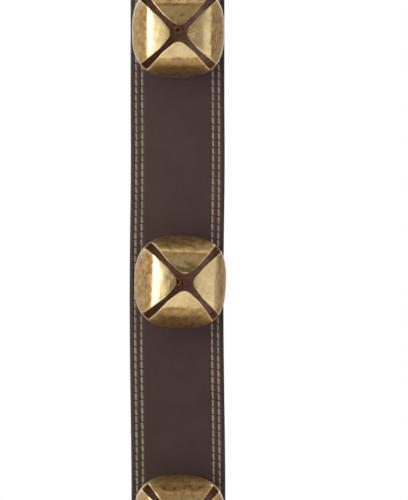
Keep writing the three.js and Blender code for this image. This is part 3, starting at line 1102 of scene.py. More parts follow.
@dataclass
class LeatherLayer:
    """One layer of the strap, as a closed skin over cross-sections."""

    form: StrapForm
    edge_radius: float = 0.95 * MM
    edge_points: int = 6
    flat_inset: float = 1.6 * MM
    plain_inset: float = 8.6 * MM
    middle_columns: int = 10
    groove_half: float = 0.95 * MM
    groove_points: int = 7
    groove_depth: float = 0.20 * MM
    groove_start: float = 1 * MM
    hole_depth: float = 0.35 * MM
    hole_length: float = 0.5 * MM
    groove_wax: float = 0.35
    burnish_inset: float = 0.4 * MM
    burnish_width: float = 1.6 * MM
    unevenness: float = 0.10 * MM
    uneven_length: float = 31 * MM

    def half_face(self, stitched: bool) -> tuple[np.ndarray, np.ndarray]:
        """Columns of half a face from the edge inwards.

        Args:
            stitched: whether the face carries rows.

        Returns:
            The inset of each column, and its drop below the face.
        """
        turn = np.linspace(0, QUARTER, self.edge_points)
        inner = [self.flat_inset]
        if stitched:
            across = np.linspace(-1, 1, self.groove_points) * self.groove_half
            for row in self.form.row_insets:
                inner.extend(row + across)
        inner.append(self.plain_inset)
        inset = np.concatenate([self.edge_radius * (1 - np.cos(turn)), inner])
        return inset, np.concatenate([self.edge_radius * (1 - np.sin(turn)), np.zeros(len(inner))])

    def loop(self) -> tuple[np.ndarray, np.ndarray, np.ndarray, np.ndarray]:
        """The closed section, round the outer face and back along the inner one.

        Returns:
            For each point, its share of the half width, inset, height and whether it is on the outer face.
        """
        faces = []
        middle = np.linspace(-1, 1, self.middle_columns + 1)[1:-1]
        for outer in (True, False):
            inset, drop = self.half_face(outer)
            share = np.concatenate([np.full(len(inset), -1.0), middle, np.full(len(inset), 1.0)])
            inset = np.concatenate([inset, np.full(len(middle), self.plain_inset), inset[::-1]])
            drop = np.concatenate([drop, np.zeros(len(middle)), drop[::-1]])
            height = self.form.thickness / 2 - drop
            if not outer:
                share, inset, height = share[::-1], inset[::-1], -height[::-1]
            faces.append((share, inset, height, np.full(len(inset), float(outer))))
        return tuple(np.concatenate(columns) for columns in zip(*faces))

    def skin(self, stations: Stations, seed: int) -> MeshDraft:
        """Builds the layer's surface.

        Args:
            stations: along the layer, from its cut end to the tip of its tail.
            seed: of the unevenness.

        Returns:
            The draft of a closed mesh.
        """
        form = self.form
        share, inset, height, outer = self.loop()
        half, drop = form.reach(inset[None], stations.tail[:, None])
        depth = np.zeros_like(half)
        wax_and_hole_shade = np.zeros_like(half)
        for row in form.rows():
            along = form.row_distance(row, stations.middle[:, 1], stations.tail)
            begun = np.clip(along / self.groove_start, 0, 1)
            hole = np.abs((along / row.pitch + 0.5) % 1.0 - 0.5) * row.pitch
            near_hole = np.exp(-((hole / self.hole_length) ** 2))
            across = np.clip(1 - ((inset - row.inset) / self.groove_half) ** 2, 0, None) ** 2 * outer
            depth += np.outer(begun * (self.groove_depth + self.hole_depth * near_hole), across)
            # Wax darkens the grooves, and painted shade darkens them most at the stitch holes.
            wax_and_hole_shade += np.outer(begun * (self.groove_wax + (1 - self.groove_wax) * near_hole), across)
        y, z = (np.repeat(column[:, None], len(inset), axis=1) for column in stations.middle.T)
        grid = np.stack([share * half, y, z - drop], axis=-1)
        uneven = self.unevenness * ripple(grid, self.uneven_length, seed)
        rise = height - depth + uneven * np.sign(height) * outer
        grid[..., 0] += form.sway(grid[..., 2])
        grid[..., 1:] += stations.normal[:, None] * rise[..., None]
        edge = np.clip(1 - (inset - self.burnish_inset) / self.burnish_width, 0, 1)
        masks = {"edge": np.broadcast_to(edge, depth.shape), "row": np.clip(wax_and_hole_shade, 0, 1)}
        draft = MeshDraft()
        index = draft.add_grid(grid, loop_columns=True, **masks)
        draft.add_cap(index[0])
        return draft


@dataclass
class Strap:
    """Front layer and lining, with the holes and windows that are cut in them."""

    finishes: Finishes
    form: StrapForm
    layer: LeatherLayer
    pins: dict[str, Vector]
    rivets: dict[str, Vector]
    shank_hole: float = 4.0 * MM
    rivet_hole: float = 1.9 * MM
    rivet_seat: float = 5.0 * MM
    rivet_recess: float = 1.4 * MM
    window_radius: float = 8.3 * MM
    window_straight: float = 2.5 * MM
    clear: float = 2 * MM
    hole_sides: int = 48
    stitch_stations: int = 6
    flap_step: float = 2 * MM
    panel_step: float = 1 * MM
    fold_steps: int = 28
    curve_steps: int = 16
    tail_points: int = 72
    front_seed: int = 3
    lining_seed: int = 5
    crease: float = 50.0

    def even(self, start: float, end: float, step: float) -> np.ndarray:
        """Heights from start to end, about a step apart."""
        return np.linspace(start, end, max(2, round(abs(end - start) / step) + 1))

    def straight(self, y: float, look: float, heights: np.ndarray) -> Run:
        """Stations down a flat run.

        Args:
            y: middle of the leather.
            look: way that the outer face looks along Y.
            heights: of the stations.

        Returns:
            Middles, normals and tail shares.
        """
        middle = np.stack([np.full(len(heights), y), heights], axis=-1)
        normal = np.tile([look, 0.0], (len(heights), 1))
        return middle, normal, np.zeros(len(heights))

    def tail(self, y: float, look: float) -> Run:
        """Stations round the pointed tail, as straight() gives them."""
        share = np.linspace(0, 1, self.tail_points)[1:]
        return *self.straight(y, look, np.full(len(share), self.form.shoulder_z))[:2], share

    def bend(self, points: np.ndarray, centre: Ends, look: float) -> Run:
        """Stations on an arc, as straight() gives them.

        Args:
            points: of the arc.
            centre: of the arc.
            look: 1 where the outer face looks away from the centre.

        Returns:
            Middles, normals and tail shares.
        """
        normal = points - np.array(centre)
        normal *= look / np.linalg.norm(normal, axis=1, keepdims=True)
        return points, normal, np.zeros(len(points))

    def front_stations(self) -> Stations:
        """Stations of the front layer: flap, fold, curve back to the flap, panel and tail.

        Returns:
            The stations, from the flap's end to the tail's tip.
        """
        form = self.form
        half = form.thickness / 2
        step = form.stitch / self.stitch_stations
        fold_middle = form.fold_inner + half
        fold_end = form.bar_z - form.fold_drop
        shift = 2 * form.fold_inner - form.cement
        turn = 2 * math.atan(shift / form.fold_drop)
        radius = form.fold_drop / (2 * math.sin(turn))
        pole = (0.0, form.bar_z)
        upper = (radius - fold_middle, form.bar_z)
        lower = (shift - fold_middle - radius, fold_end)
        over = arc(pole, fold_middle, 0, math.pi, self.fold_steps)
        first = arc(upper, radius, math.pi, math.pi + turn, self.curve_steps)
        second = arc(lower, radius, turn, 0, self.curve_steps)
        stitched = form.row_top_z - step * np.arange(round((form.row_top_z - form.flap_end_z) / step))
        bare = self.even(form.row_top_z, form.bar_z, self.flap_step)
        flap = np.concatenate([[form.flap_end_z], stitched[:0:-1], bare[:-1]])
        panel = np.concatenate([
            self.even(fold_end, form.row_top_z, self.panel_step)[1:-1],
            self.even(form.row_top_z, form.shoulder_z, step),
        ])
        return Stations.joined([
            self.straight(fold_middle, 1.0, flap),
            self.bend(over, pole, 1.0),
            self.bend(first[1:], upper, 1.0),
            self.bend(second[1:], lower, -1.0),
            self.straight(form.panel_front + half, -1.0, panel),
            self.tail(form.panel_front + half, -1.0),
        ])

    def lining_stations(self) -> Stations:
        """Stations of the lining, from the end of the flap to the tail.

        Returns:
            The stations, from the top to the tail's tip.
        """
        form = self.form
        y = form.lining_back - form.thickness / 2
        heights = self.even(form.lining_top_z, form.shoulder_z, form.stitch / self.stitch_stations)
        return Stations.joined([self.straight(y, 1.0, heights), self.tail(y, 1.0)])

    def add_hole(self, cutters: MeshDraft, outline: np.ndarray, front: float, back: float) -> None:
        """Adds a prism along Y to the cutters.

        Args:
            cutters: draft that takes it.
            outline: points in X and Z.
            front: lowest Y.
            back: highest Y.
        """
        cutters.add_closed(np.stack([stand_up(outline, y) for y in (front, back)]))

    def disc(self, radius: float, at: Vector) -> np.ndarray:
        """Outline of a round hole."""
        return np.array([at.x, at.z]) + round_section(radius, self.hole_sides)

    def window(self, at: Vector) -> np.ndarray:
        """Outline of a window in the lining, which keeps a pin below its back.

        Args:
            at: the pin.

        Returns:
            Points in X and Z.
        """
        steps = self.hole_sides // 2
        upper = arc((at.x, at.z + self.window_straight), self.window_radius, 0, math.pi, steps)
        lower = arc((at.x, at.z - self.window_straight), self.window_radius, math.pi, 2 * math.pi, steps)
        return np.vstack([upper, lower])

    def build_layer(self, name: str, skin: MeshDraft, cutters: list[MeshDraft]) -> None:
        """Cuts and dresses one layer.

        Args:
            name: of its CAD node.
            skin: of the whole layer.
            cutters: sets of holes, to be cut one after the other.
        """
        leather = skin.to_object(f"{name}_leather")
        leather.data.materials.append(self.finishes.leather)
        for holes in cutters:
            cut(leather, holes)
        shade(leather, self.crease)
        place(leather, "strap", Slot.LEATHER, name)

    def build(self) -> None:
        """Builds and dresses both layers."""
        form = self.form
        before = form.panel_front - self.clear
        behind = form.lining_back + self.clear
        holes, seats, windows = MeshDraft(), MeshDraft(), MeshDraft()
        for pin in self.pins.values():
            self.add_hole(holes, self.disc(self.shank_hole, pin), before, form.fold_inner + self.clear)
            self.add_hole(windows, self.window(pin), form.fold_inner - self.clear, behind)
        for rivet in self.rivets.values():
            self.add_hole(holes, self.disc(self.rivet_hole, rivet), before, behind)
            seat = form.lining_back - self.rivet_recess
            self.add_hole(seats, self.disc(self.rivet_seat, rivet), seat, behind)
        front = self.layer.skin(self.front_stations(), self.front_seed)
        lining = self.layer.skin(self.lining_stations(), self.lining_seed)
        self.build_layer("strap_front", front, [holes, seats])
        self.build_layer("strap_lining", lining, [windows])


@dataclass
class Stitching:
    """Separate stitches of one face of the strap, each a short length of twisted thread.

    A stitch stands proud of the leather, and is pinched and dives where it is near its holes.
    """

    finishes: Finishes
    form: StrapForm
    thread: float = 1.6 * MM
    gap: float = 0.02
    cover: float = 0.80
    proud: float = 0.10 * MM
    sink: float = 0.38
    dive: float = 0.65 * MM
    dive_power: float = 1.6
    pinch: float = 0.30
    flatness: float = 0.76
    ply_depth: float = 0.09
    twist: float = 2.2
    slant: float = math.radians(5)
    slant_spread: float = math.radians(1.5)
    lift_spread: float = 0.03 * MM
    seed: int = 17
    steps: int = 12
    sides: int = 10
    crease: float = 60.0

    def template(self, pitch: float) -> tuple[np.ndarray, np.ndarray]:
        """One stitch, along X and standing up in Z.

        Args:
            pitch: length of a stitch with its gap.

        Returns:
            A grid of rings, and how near each ring is to the stitch's holes.
        """
        along = np.linspace(-1, 1, self.steps + 1)[:, None]
        angle = circle(self.sides)
        sunk = np.clip((np.abs(along) - self.cover) / (1 - self.cover), 0, 1)
        level = self.proud - self.thread * self.sink - self.dive * sunk**self.dive_power
        ply = 1 + self.ply_depth * np.cos(2 * angle + self.twist * math.pi * along)
        ring = self.thread / 2 * (1 - self.pinch * sunk**2) * ply
        reach = np.broadcast_to(along * pitch * (0.5 - self.gap), ring.shape)
        grid = np.stack([reach, ring * np.cos(angle), level + self.flatness * ring * np.sin(angle)], axis=-1)
        return grid, np.broadcast_to(sunk, ring.shape)

    def build(self, face: Face) -> None:
        """Builds and dresses the rows of one face.

        Args:
            face: of the strap.
        """
        form = self.form
        level = form.panel_front if face is Face.FRONT else form.lining_back
        draw = np.random.default_rng(self.seed + face.value)
        for row in form.rows():
            draft = MeshDraft()
            grid, sunk = self.template(row.pitch)
            for number in range(row.count):
                (point,), (along,) = form.row_place(row, np.array([(number + 0.5) * row.pitch]))
                slant = self.slant + draw.normal(0, self.slant_spread)
                lift = draw.normal(0, self.lift_spread)
                across = np.array([-along[1], along[0]])
                turned = math.cos(slant) * along + math.sin(slant) * across
                side = np.array([-turned[1], turned[0]])
                flat = grid[..., :1] * turned + grid[..., 1:2] * side + point
                # The hole mask marks where the thread dives, for painted shade in its finish.
                draft.add_closed(stand_up(flat, level + face.value * (grid[..., 2] + lift)), hole=sunk)
            name = f"stitching_{face.name.lower()}_{row.name}"
            stitches = draft.to_object(name + "_thread")
            shade(stitches, self.crease)
            place(stitches, "strap", Slot.THREAD, name, self.finishes.thread)


@dataclass
class FoldRivet:
    """Double-cap rivet that closes the fold."""

    finishes: Finishes
    side: str
    at: Vector
    front: float
    back: float
    cap_radius: float = 4.8 * MM
    cap_height: float = 1.3 * MM
    rim: float = 0.4 * MM
    lip_width: float = 0.15 * MM
    lip_rise: float = 0.12 * MM
    post_radius: float = 1.7 * MM
    post_reach: float = 0.4 * MM
    post_chamfer: float = 0.2 * MM
    socket_depth: float = 0.6 * MM
    recess: float = 1.4 * MM
    play: float = 0.2 * MM
    pole_radius: float = 0.02 * MM
    dent_depth: float = 0.02 * MM
    dent_length: float = 4 * MM
    seed: int = 21
    dome_points: int = 15
    sides: int = 56
    crease: float = 35.0

    def dome(self) -> np.ndarray:
        """Radius and height of a cap, from under its rim to its middle.

        Returns:
            Points of the profile.
        """
        turn = np.linspace(0, QUARTER, self.dome_points)
        lip = [[self.cap_radius - self.lip_width, 0.0], [self.cap_radius, self.lip_rise]]
        rise = self.rim + (self.cap_height - self.rim) * np.sin(turn)
        crown = np.stack([self.cap_radius * np.cos(turn), rise], axis=-1)
        crown[-1, 0] = self.pole_radius
        return np.vstack([lip, crown])

    def turned_piece(self, profile: np.ndarray, name: str, seed: int) -> bpy.types.Object:
        """Turns a profile into a slightly dented piece in its place.

        Args:
            profile: radius and Y, closed at the axis at both ends.
            name: of the piece.
            seed: of its dents.

        Returns:
            The piece.
        """
        grid = lathe(profile, self.sides)
        grid[..., 1] += self.dent_depth * ripple(grid, self.dent_length, seed)
        draft = MeshDraft()
        draft.add_closed(grid + np.array([self.at.x, 0.0, self.at.z]))
        piece = draft.to_object(name)
        shade(piece, self.crease)
        return piece

    def build(self) -> None:
        """Builds and dresses both halves."""
        dome = self.dome()
        seat = self.back - self.recess
        tip = seat + self.post_reach
        head = dome[::-1] * np.array([1, -1]) + np.array([0, self.front])
        post = [
            [self.post_radius, self.front],
            [self.post_radius, tip - self.post_chamfer],
            [self.post_radius - self.post_chamfer, tip],
            [self.pole_radius, tip],
        ]
        socket = self.post_radius + self.play
        socket_end = seat + self.socket_depth
        under = [[self.pole_radius, socket_end], [socket, socket_end], [socket, seat]]
        front = np.vstack([head, post])
        back = np.vstack([under, dome + np.array([0, seat])])
        halves = (("front", "post", front), ("back", "cap", back))
        for seed, (name, node, profile) in enumerate(halves, start=self.seed):
            piece = self.turned_piece(profile, f"rivet_{self.side}_{name}", seed)
            place(piece, "strap", Slot.AGED_BRASS, f"fold_rivet_{self.side}_{node}", self.finishes.aged_brass)


# Bells


@dataclass(frozen=True)
class Petal:
    """How one petal is bent and has aged.

    The face leaves the shoulder at a slope, in degrees, which falls off to the tip by a power and by the
    tip's curl. A crease lies at an inset from the shoulder, pressed in to its depth. Soil lies along it, as
    wide as its spread, and values over 1 are grime. A patch of small dents lies at a reach on the face, as
    deep as it says. The stain reaches in past the shoulder, fades over a width and has a depth.
    """

    slope: float
    fall: float
    crease: float = 0.0
    crease_inset: float = 2.4 * MM
    soil: float = 0.0
    soil_spread: float = 1.0
    knocks: float = 0.0
    knocks_reach: float = 9 * MM
    curl: float = 0.0
    stain: float = 0.0
    stain_width: float = 2.4 * MM
    stain_depth: float = 1.0


@dataclass(frozen=True)
class BellForm:
    """Form of a petal bell: a round base that turns into four petals, each bent at a shoulder."""

    petals: tuple[Petal, ...]
    half: float = 24.5 * MM
    diagonal: float = 26.9 * MM
    base_depth: float = 15 * MM
    front_depth: float = 19 * MM
    sheet: float = 0.8 * MM
    shoulder_reach: float = 17.2 * MM
    shoulder_rise: float = 14.5 * MM
    shoulder_round: float = 1.8 * MM
    side_slope: float = math.radians(52)
    curl_width: float = 1.8 * MM
    crease_half: float = 1.1 * MM
    knocks_half: float = 4.5 * MM
    knock_size: float = 6 * MM
    knock_seed: int = 5
    round_power: float = 2.0
    diagonal_power: float = 4.0
    petal_power: float = 7.0
    slot_half: float = 1.2 * MM
    slot_waist_reach: float = 13 * MM
    slot_centre_half: float = 2.5 * MM
    slot_end_half: float = 2.3 * MM
    slot_end_rise: float = 3.9 * MM
    tip_radius: float = 4.5 * MM
    neck_hole: float = 2.1 * MM
    rim_width: float = 1.2 * MM
    petal_columns: int = 44
    slot_columns: int = 6
    base_rings: int = 16
    lower_rings: int = 5
    petal_rows: int = 60
    face_points: int = 300
    line_points: int = 800
    round_reach: int = 3
    halvings: int = 40

    @property
    def flare(self) -> float:
        """How fast a slot widens outside its waist."""
        return (self.slot_end_half - self.slot_half) / (self.diagonal - self.slot_waist_reach)

    @property
    def taper(self) -> float:
        """How fast a slot widens from its waist to the axis."""
        return (self.slot_centre_half - self.slot_half) / self.slot_waist_reach

    @property
    def half_angle(self) -> float:
        """Angle between a petal's middle and its edge, near the tip."""
        return EIGHTH + math.atan(self.taper)

    @property
    def tip_centre(self) -> float:
        """Distance from the axis to the middle of a petal's rounded tip."""
        apex = math.sqrt(2) * self.slot_centre_half / (1 + self.taper)
        return apex + self.tip_radius / math.sin(self.half_angle)

    @property
    def tip(self) -> float:
        """Distance from the axis to a petal's tip."""
        return self.tip_centre - self.tip_radius

    def face_line(self, petal: Petal) -> np.ndarray:
        """Middle line of a petal's face, from the shoulder to the axis.

        Args:
            petal: with the face.

        Returns:
            Points of reach and rise.
        """
        reach = np.linspace(self.shoulder_reach, 0, self.face_points)
        from_tip = np.clip((reach - self.tip) / self.curl_width, 0, None)
        angle = petal.slope * (reach / self.shoulder_reach) ** petal.fall - petal.curl * np.exp(-from_tip**2)
        slope = np.tan(np.radians(angle))
        steps = (slope[1:] + slope[:-1]) / 2 * -np.diff(reach)
        return np.stack([reach, self.shoulder_rise + np.concatenate([[0], np.cumsum(steps)])], axis=-1)

    def near_crease(self, petal: Petal, reach: np.ndarray, spread: float = 1.0) -> np.ndarray:
        """How near places are to a petal's crease.

        Args:
            petal: with the crease.
            reach: of the places.
            spread: how many crease widths it falls off over.

        Returns:
            1 in the crease, falling to 0 away from it.
        """
        away = (reach - self.shoulder_reach + petal.crease_inset) / (self.crease_half * spread)
        return np.exp(-away**2)

    def petal_line(self, petal: Petal) -> np.ndarray:
        """Middle line of a petal, from the equator over the rounded shoulder to the axis.

        Args:
            petal: to follow.

        Returns:
            Points of reach and rise, in even steps.
        """
        face = self.face_line(petal)
        bend = face[0]
        side_corner = (self.half, bend[1] - (self.half - bend[0]) * math.tan(self.side_slope))
        side = bow((self.half, 0.0), side_corner, bend)
        line = evenly(np.vstack([side, face[1:]]), self.line_points)
        step = float(np.linalg.norm(line[1] - line[0]))
        pad = math.ceil(self.round_reach * self.shoulder_round / step)
        below = line[1:pad + 1][::-1] * np.array([1, -1])
        beyond = line[-pad - 1:-1][::-1] * np.array([-1, 1])
        weight = np.exp(-((np.arange(-pad, pad + 1) * step / self.shoulder_round) ** 2) / 2)
        weight /= weight.sum()
        padded = np.vstack([below, line, beyond])
        line = np.stack([np.convolve(padded[:, axis], weight, "valid") for axis in (0, 1)], axis=-1)
        line[:, 1] -= petal.crease * self.near_crease(petal, line[:, 0])
        return line

    def section_power(self, half: float, diagonal: float) -> float:
        """Squareness of the section that reaches half across the petals and diagonal across the slots."""
        steepest = 1 / 2 - 1 / self.petal_power
        return 1 / (1 / 2 - min(math.log2(diagonal / half), steepest))

    def level_power(self, reach: float, rise: float) -> float:
        """Squareness of the section at one point of a petal's middle line.

        Args:
            reach: of the point.
            rise: of the point.

        Returns:
            The section's power.
        """
        share = min(1.0, rise / self.front_depth)
        across = self.diagonal * (1 - share**self.diagonal_power) ** (1 / self.diagonal_power)
        return self.section_power(reach, across) if across > reach else self.round_power

    def radius(self, angle: np.ndarray, reach: float, power: float) -> np.ndarray:
        """Distance from the axis to the section, at an angle from a petal's middle."""
        total = np.abs(np.cos(angle)) ** power + np.abs(np.sin(angle)) ** power
        return reach / total ** (1 / power)

    def on_petal(self, angle: float, radius: float) -> bool:
        """Whether a point is on the petal, and not in a slot or past the rounded tip.

        Args:
            angle: from the petal's middle.
            radius: from the axis.

        Returns:
            True on the petal.
        """
        x, z = radius * math.cos(angle), radius * math.sin(angle)
        if x < self.tip_centre - self.tip_radius * math.sin(self.half_angle):
            return (x - self.tip_centre) ** 2 + z**2 <= self.tip_radius**2
        off = radius * math.sin(EIGHTH - angle)
        past = radius * math.cos(EIGHTH - angle) - self.slot_waist_reach
        return off >= self.slot_half + max(self.flare * past, -self.taper * past)

    def petal_limit(self, reach: float, power: float) -> float:
        """Angle from a petal's middle to its edge on one section.

        Args:
            reach: of the section.
            power: squareness of the section.

        Returns:
            The angle.
        """
        low, high = 0.0, EIGHTH
        for _ in range(self.halvings):
            middle = (low + high) / 2
            inside = self.on_petal(middle, float(self.radius(np.array(middle), reach, power)))
            low, high = (middle, high) if inside else (low, middle)
        return low

    def ring(self, angle: np.ndarray, reach: float, rise: float, power: float) -> np.ndarray:
        """Points of one section, with the axis along -Y and the equator at 0."""
        radius = self.radius(angle, reach, power)
        return np.stack([radius * np.cos(angle), np.full(len(angle), -rise), radius * np.sin(angle)], axis=-1)

    def ring_angles(self, limit: float) -> np.ndarray:
        """Angles of a whole ring, in step with the petals' columns and the slots between them.

        Args:
            limit: angle from a petal's middle to its edge.

        Returns:
            The angles, from the edge of the first petal on.
        """
        petal = np.linspace(-limit, limit, self.petal_columns + 1)
        slot = np.linspace(limit, QUARTER - limit, self.slot_columns + 1)[1:-1]
        quarter = np.concatenate([petal, slot])
        return np.concatenate([quarter + turn for turn in circle(len(self.petals))])

    def add_body(self, draft: MeshDraft, line: np.ndarray) -> None:
        """Adds the base and the closed band up to the slots' ends.

        Args:
            draft: that takes them.
            line: middle line of a petal.
        """
        end_reach = float(np.interp(self.slot_end_rise, line[:, 1], line[:, 0]))
        limit = self.petal_limit(end_reach, self.level_power(end_reach, self.slot_end_rise))
        angles = self.ring_angles(limit)
        squarer = self.section_power(self.half, self.diagonal) - self.round_power
        rings = []
        for turn in np.linspace(math.asin(self.neck_hole / self.half), QUARTER, self.base_rings + 1):
            reach, rise = self.half * math.sin(turn), -self.base_depth * math.cos(turn)
            rings.append(self.ring(angles, reach, rise, self.round_power + squarer * turn / QUARTER))
        for rise in np.linspace(0, self.slot_end_rise, self.lower_rings + 1)[1:]:
            reach = float(np.interp(rise, line[:, 1], line[:, 0]))
            rings.append(self.ring(angles, reach, rise, self.level_power(reach, rise)))
        whole = np.stack(rings)
        plain = np.zeros(whole.shape[:2])
        draft.add_grid(whole, loop_columns=True, rim=plain, aged=plain + 1)

    def add_petal(self, draft: MeshDraft, petal: Petal, turn: float) -> None:
        """Adds one petal.

        Args:
            draft: that takes it.
            petal: how it is bent and has aged.
            turn: of the petal about the axis.
        """
        line = self.petal_line(petal)
        end_reach = float(np.interp(self.slot_end_rise, line[:, 1], line[:, 0]))
        tip_rise = float(np.interp(-self.tip, -line[:, 0], line[:, 1]))
        above = line[(line[:, 0] < end_reach) & (line[:, 0] > self.tip)]
        whole = np.vstack([[[end_reach, self.slot_end_rise]], above, [[self.tip, tip_rise]]])
        middle = evenly(whole, self.petal_rows + 1)
        share = np.linspace(-1, 1, self.petal_columns + 1)
        rows, rims = [], []
        for number, (reach, rise) in enumerate(middle):
            power = self.level_power(reach, rise)
            edge = self.petal_limit(reach, power) if number < self.petal_rows else 0.0
            row = self.ring(share * edge, reach, rise, power)
            to_edge = np.abs(row[:, 2]).max() - np.abs(row[:, 2])
            near_tip = max(0.0, 1 - (reach - self.tip) / self.rim_width)
            rims.append(np.maximum(np.clip(1 - to_edge / self.rim_width, 0, 1), near_tip))
            rows.append(row)
        grid, rim = np.stack(rows), np.stack(rims)
        reaches = middle[:, :1]
        past = (reaches - self.shoulder_reach + petal.stain) / petal.stain_width
        darkened = petal.soil * self.near_crease(petal, reaches, petal.soil_spread)
        aged = np.broadcast_to(np.maximum(np.clip(past + 0.5, 0, petal.stain_depth), darkened), rim.shape)
        from_knocks = np.hypot(reaches - petal.knocks_reach, grid[..., 2]) / self.knocks_half
        knocked = np.exp(-from_knocks**2) * ripple(grid, self.knock_size, self.knock_seed)
        grid[..., 1] += petal.knocks * knocked
        across, along = math.cos(turn), math.sin(turn)
        spin = np.array([[across, 0, along], [0, 1, 0], [-along, 0, across]])
        draft.add_grid(grid @ spin, rim=rim, aged=aged)

    def skin(self) -> MeshDraft:
        """The bell's outer surface, open at the neck and the slots.

        Returns:
            The draft of an open mesh.
        """
        draft = MeshDraft()
        self.add_body(draft, self.petal_line(self.petals[0]))
        for petal, turn in zip(self.petals, circle(len(self.petals))):
            self.add_petal(draft, petal, turn)
        return draft


@dataclass(frozen=True)
class BellRest:
    """How one bell rests on its pin, in degrees, and its right, top, left and bottom petals."""

    name: str
    turn: float
    nod: float
    roll: float
    petals: tuple[Petal, Petal, Petal, Petal]

    def attitude(self) -> Matrix:
        """Rotation of the bell about its pin."""
        nod, roll, turn = (math.radians(angle) for angle in (self.nod, self.roll, self.turn))
        return Matrix.Rotation(turn, 4, "Z") @ Matrix.Rotation(nod, 4, "X") @ Matrix.Rotation(roll, 4, "Y")


@dataclass
class Bell:
    """A petal bell with its shank and clapper, on its pin."""

    finishes: Finishes
    as_hung: BellRest
    pin: Vector
    seed: int
    rim_round: float = 0.16 * MM
    rim_angle: float = math.radians(55)
    dents: tuple[Ends, ...] = ((19 * MM, 0.055 * MM), (7.5 * MM, 0.022 * MM))
    dent_top: float = 0.6
    shell_crease: float = 48.0
    shank_radius: float = 2.6 * MM
    shank_soft: float = 0.15 * MM
    shank_sides: int = 48
    shank_crease: float = 35.0
    neck_radius: float = 1.9 * MM
    neck_play: float = 0.2 * MM
    roll_radius: float = 2.75 * MM
    roll_steps: int = 22
    bore_radius: float = 0.75 * MM
    bore_depth: float = 4 * MM
    bore_cone: float = 0.4 * MM
    pole_radius: float = 0.05 * MM
    pin_hole: float = 1.2 * MM
    pin_hole_sides: int = 32
    end_wall: float = 0.55 * MM
    end_chamfer: float = 0.9 * MM
    chamfer_points: int = 7
    clapper_radius: float = 6 * MM
    clapper_fill: float = 0.99
    clapper_rings: int = 39
    clapper_sides: int = 72
    clapper_crease: float = 30.0
    seam_height: float = 0.010
    seam_half: float = 0.035
    flat_depth: float = 0.012
    flat_length: float = 0.9
    flat_seed_step: int = 40

    def __post_init__(self) -> None:
        """Works out how the bell rests, and where its base is, from the frame."""
        self.name = self.as_hung.name
        self.body = f"bell_{self.name}"
        self.form = BellForm(self.as_hung.petals)
        self.rest = Matrix.Translation(self.pin) @ self.as_hung.attitude()
        self.back = self.rest.inverted()
        shell = frame["nodes"][f"{self.body}_shell"]
        self.base_y = max((self.back @ (shell.matrix_world @ point.co)).y for point in shell.data.vertices)

    def rested(self, draft: MeshDraft) -> MeshDraft:
        """Moves a draft from the bell's own frame to its rest attitude on the pin.

        Args:
            draft: in the bell's own frame.

        Returns:
            The same draft.
        """
        turn = np.array(self.rest.to_3x3())
        draft.points = [part @ turn.T + np.array(self.rest.translation) for part in draft.points]
        return draft

    def build_shell(self) -> None:
        """Builds and dresses the shell."""
        draft = self.form.skin()
        equator = np.array([0.0, self.base_y - self.form.base_depth, 0.0])
        for number, part in enumerate(draft.points):
            out = part / np.linalg.norm(part, axis=1, keepdims=True)
            sunk = np.zeros(len(part))
            for size, deep in self.dents:
                sunk += deep * (np.minimum(ripple(part, size, self.seed), self.dent_top) - self.dent_top)
            draft.points[number] = part + out * sunk[:, None] + equator
        shell = self.rested(draft).to_object(f"{self.body}_petal_shell")
        for brass in (self.finishes.brass, self.finishes.brass_inside):
            shell.data.materials.append(brass)
        wall = shell.modifiers.new("wall", "SOLIDIFY")
        wall.thickness = self.form.sheet
        wall.offset = -1
        wall.use_even_offset = True
        wall.material_offset = 1
        wall.material_offset_rim = 0
        settle(shell)
        rims = shell.modifiers.new("rims", "BEVEL")
        rims.width = self.rim_round
        rims.segments = 2
        rims.limit_method = "ANGLE"
        rims.angle_limit = self.rim_angle
        rims.use_clamp_overlap = False
        settle(shell)
        shade(shell, self.shell_crease)
        place(shell, self.body, Slot.BRASS, f"{self.body}_shell")

    def shank_profile(self) -> np.ndarray:
        """Radius and Y of the shank, from its bore over the rolled end to the end behind the strap.

        Returns:
            Points of the profile.
        """
        bead = (self.roll_radius - self.bore_radius) / 2
        bead_at = self.bore_radius + bead
        bead_y = self.base_y - self.form.sheet - self.neck_play - bead
        bead_end = 2 * math.pi + math.acos((self.neck_radius - bead_at) / bead)
        rolled = arc((bead_at, bead_y), bead, math.pi, bead_end, self.roll_steps)
        bore_y = self.base_y + self.bore_depth
        bore = [[self.pole_radius, bore_y + self.bore_cone], [self.bore_radius, bore_y]]
        shoulder = self.base_y + self.neck_play
        neck = [
            [self.neck_radius, shoulder],
            [self.shank_radius - self.shank_soft, shoulder],
            [self.shank_radius, shoulder + self.shank_soft],
        ]
        tail = self.pin_hole + self.end_wall
        chamfer = np.linspace(0, QUARTER, self.chamfer_points)
        rounded = np.stack([
            self.shank_radius - self.end_chamfer * (1 - np.cos(chamfer)),
            tail - self.end_chamfer * (1 - np.sin(chamfer)),
        ], axis=-1)
        return np.vstack([bore, rolled, neck, rounded, [[self.pole_radius, tail]]])

    def build_shank(self) -> None:
        """Builds and dresses the shank, cross-drilled for its pin."""
        draft = MeshDraft()
        draft.add_closed(lathe(self.shank_profile(), self.shank_sides))
        shank = self.rested(draft).to_object(f"{self.body}_rolled_shank")
        drill = MeshDraft()
        ring = round_section(self.pin_hole, self.pin_hole_sides)
        reach = 2 * self.shank_radius
        drill.add_closed(np.stack([np.insert(ring, 2, z, axis=1) for z in (-reach, reach)]))
        cut(shank, self.rested(drill))
        shade(shank, self.shank_crease)
        shank.data.materials.clear()
        for brass in (self.finishes.shank_brass, self.finishes.aged_brass):
            shank.data.materials.append(brass)
        for face in shank.data.polygons:
            face.material_index = int((self.back @ face.center).y > self.base_y)
        place(shank, self.body, Slot.AGED_BRASS, f"{self.body}_shank")

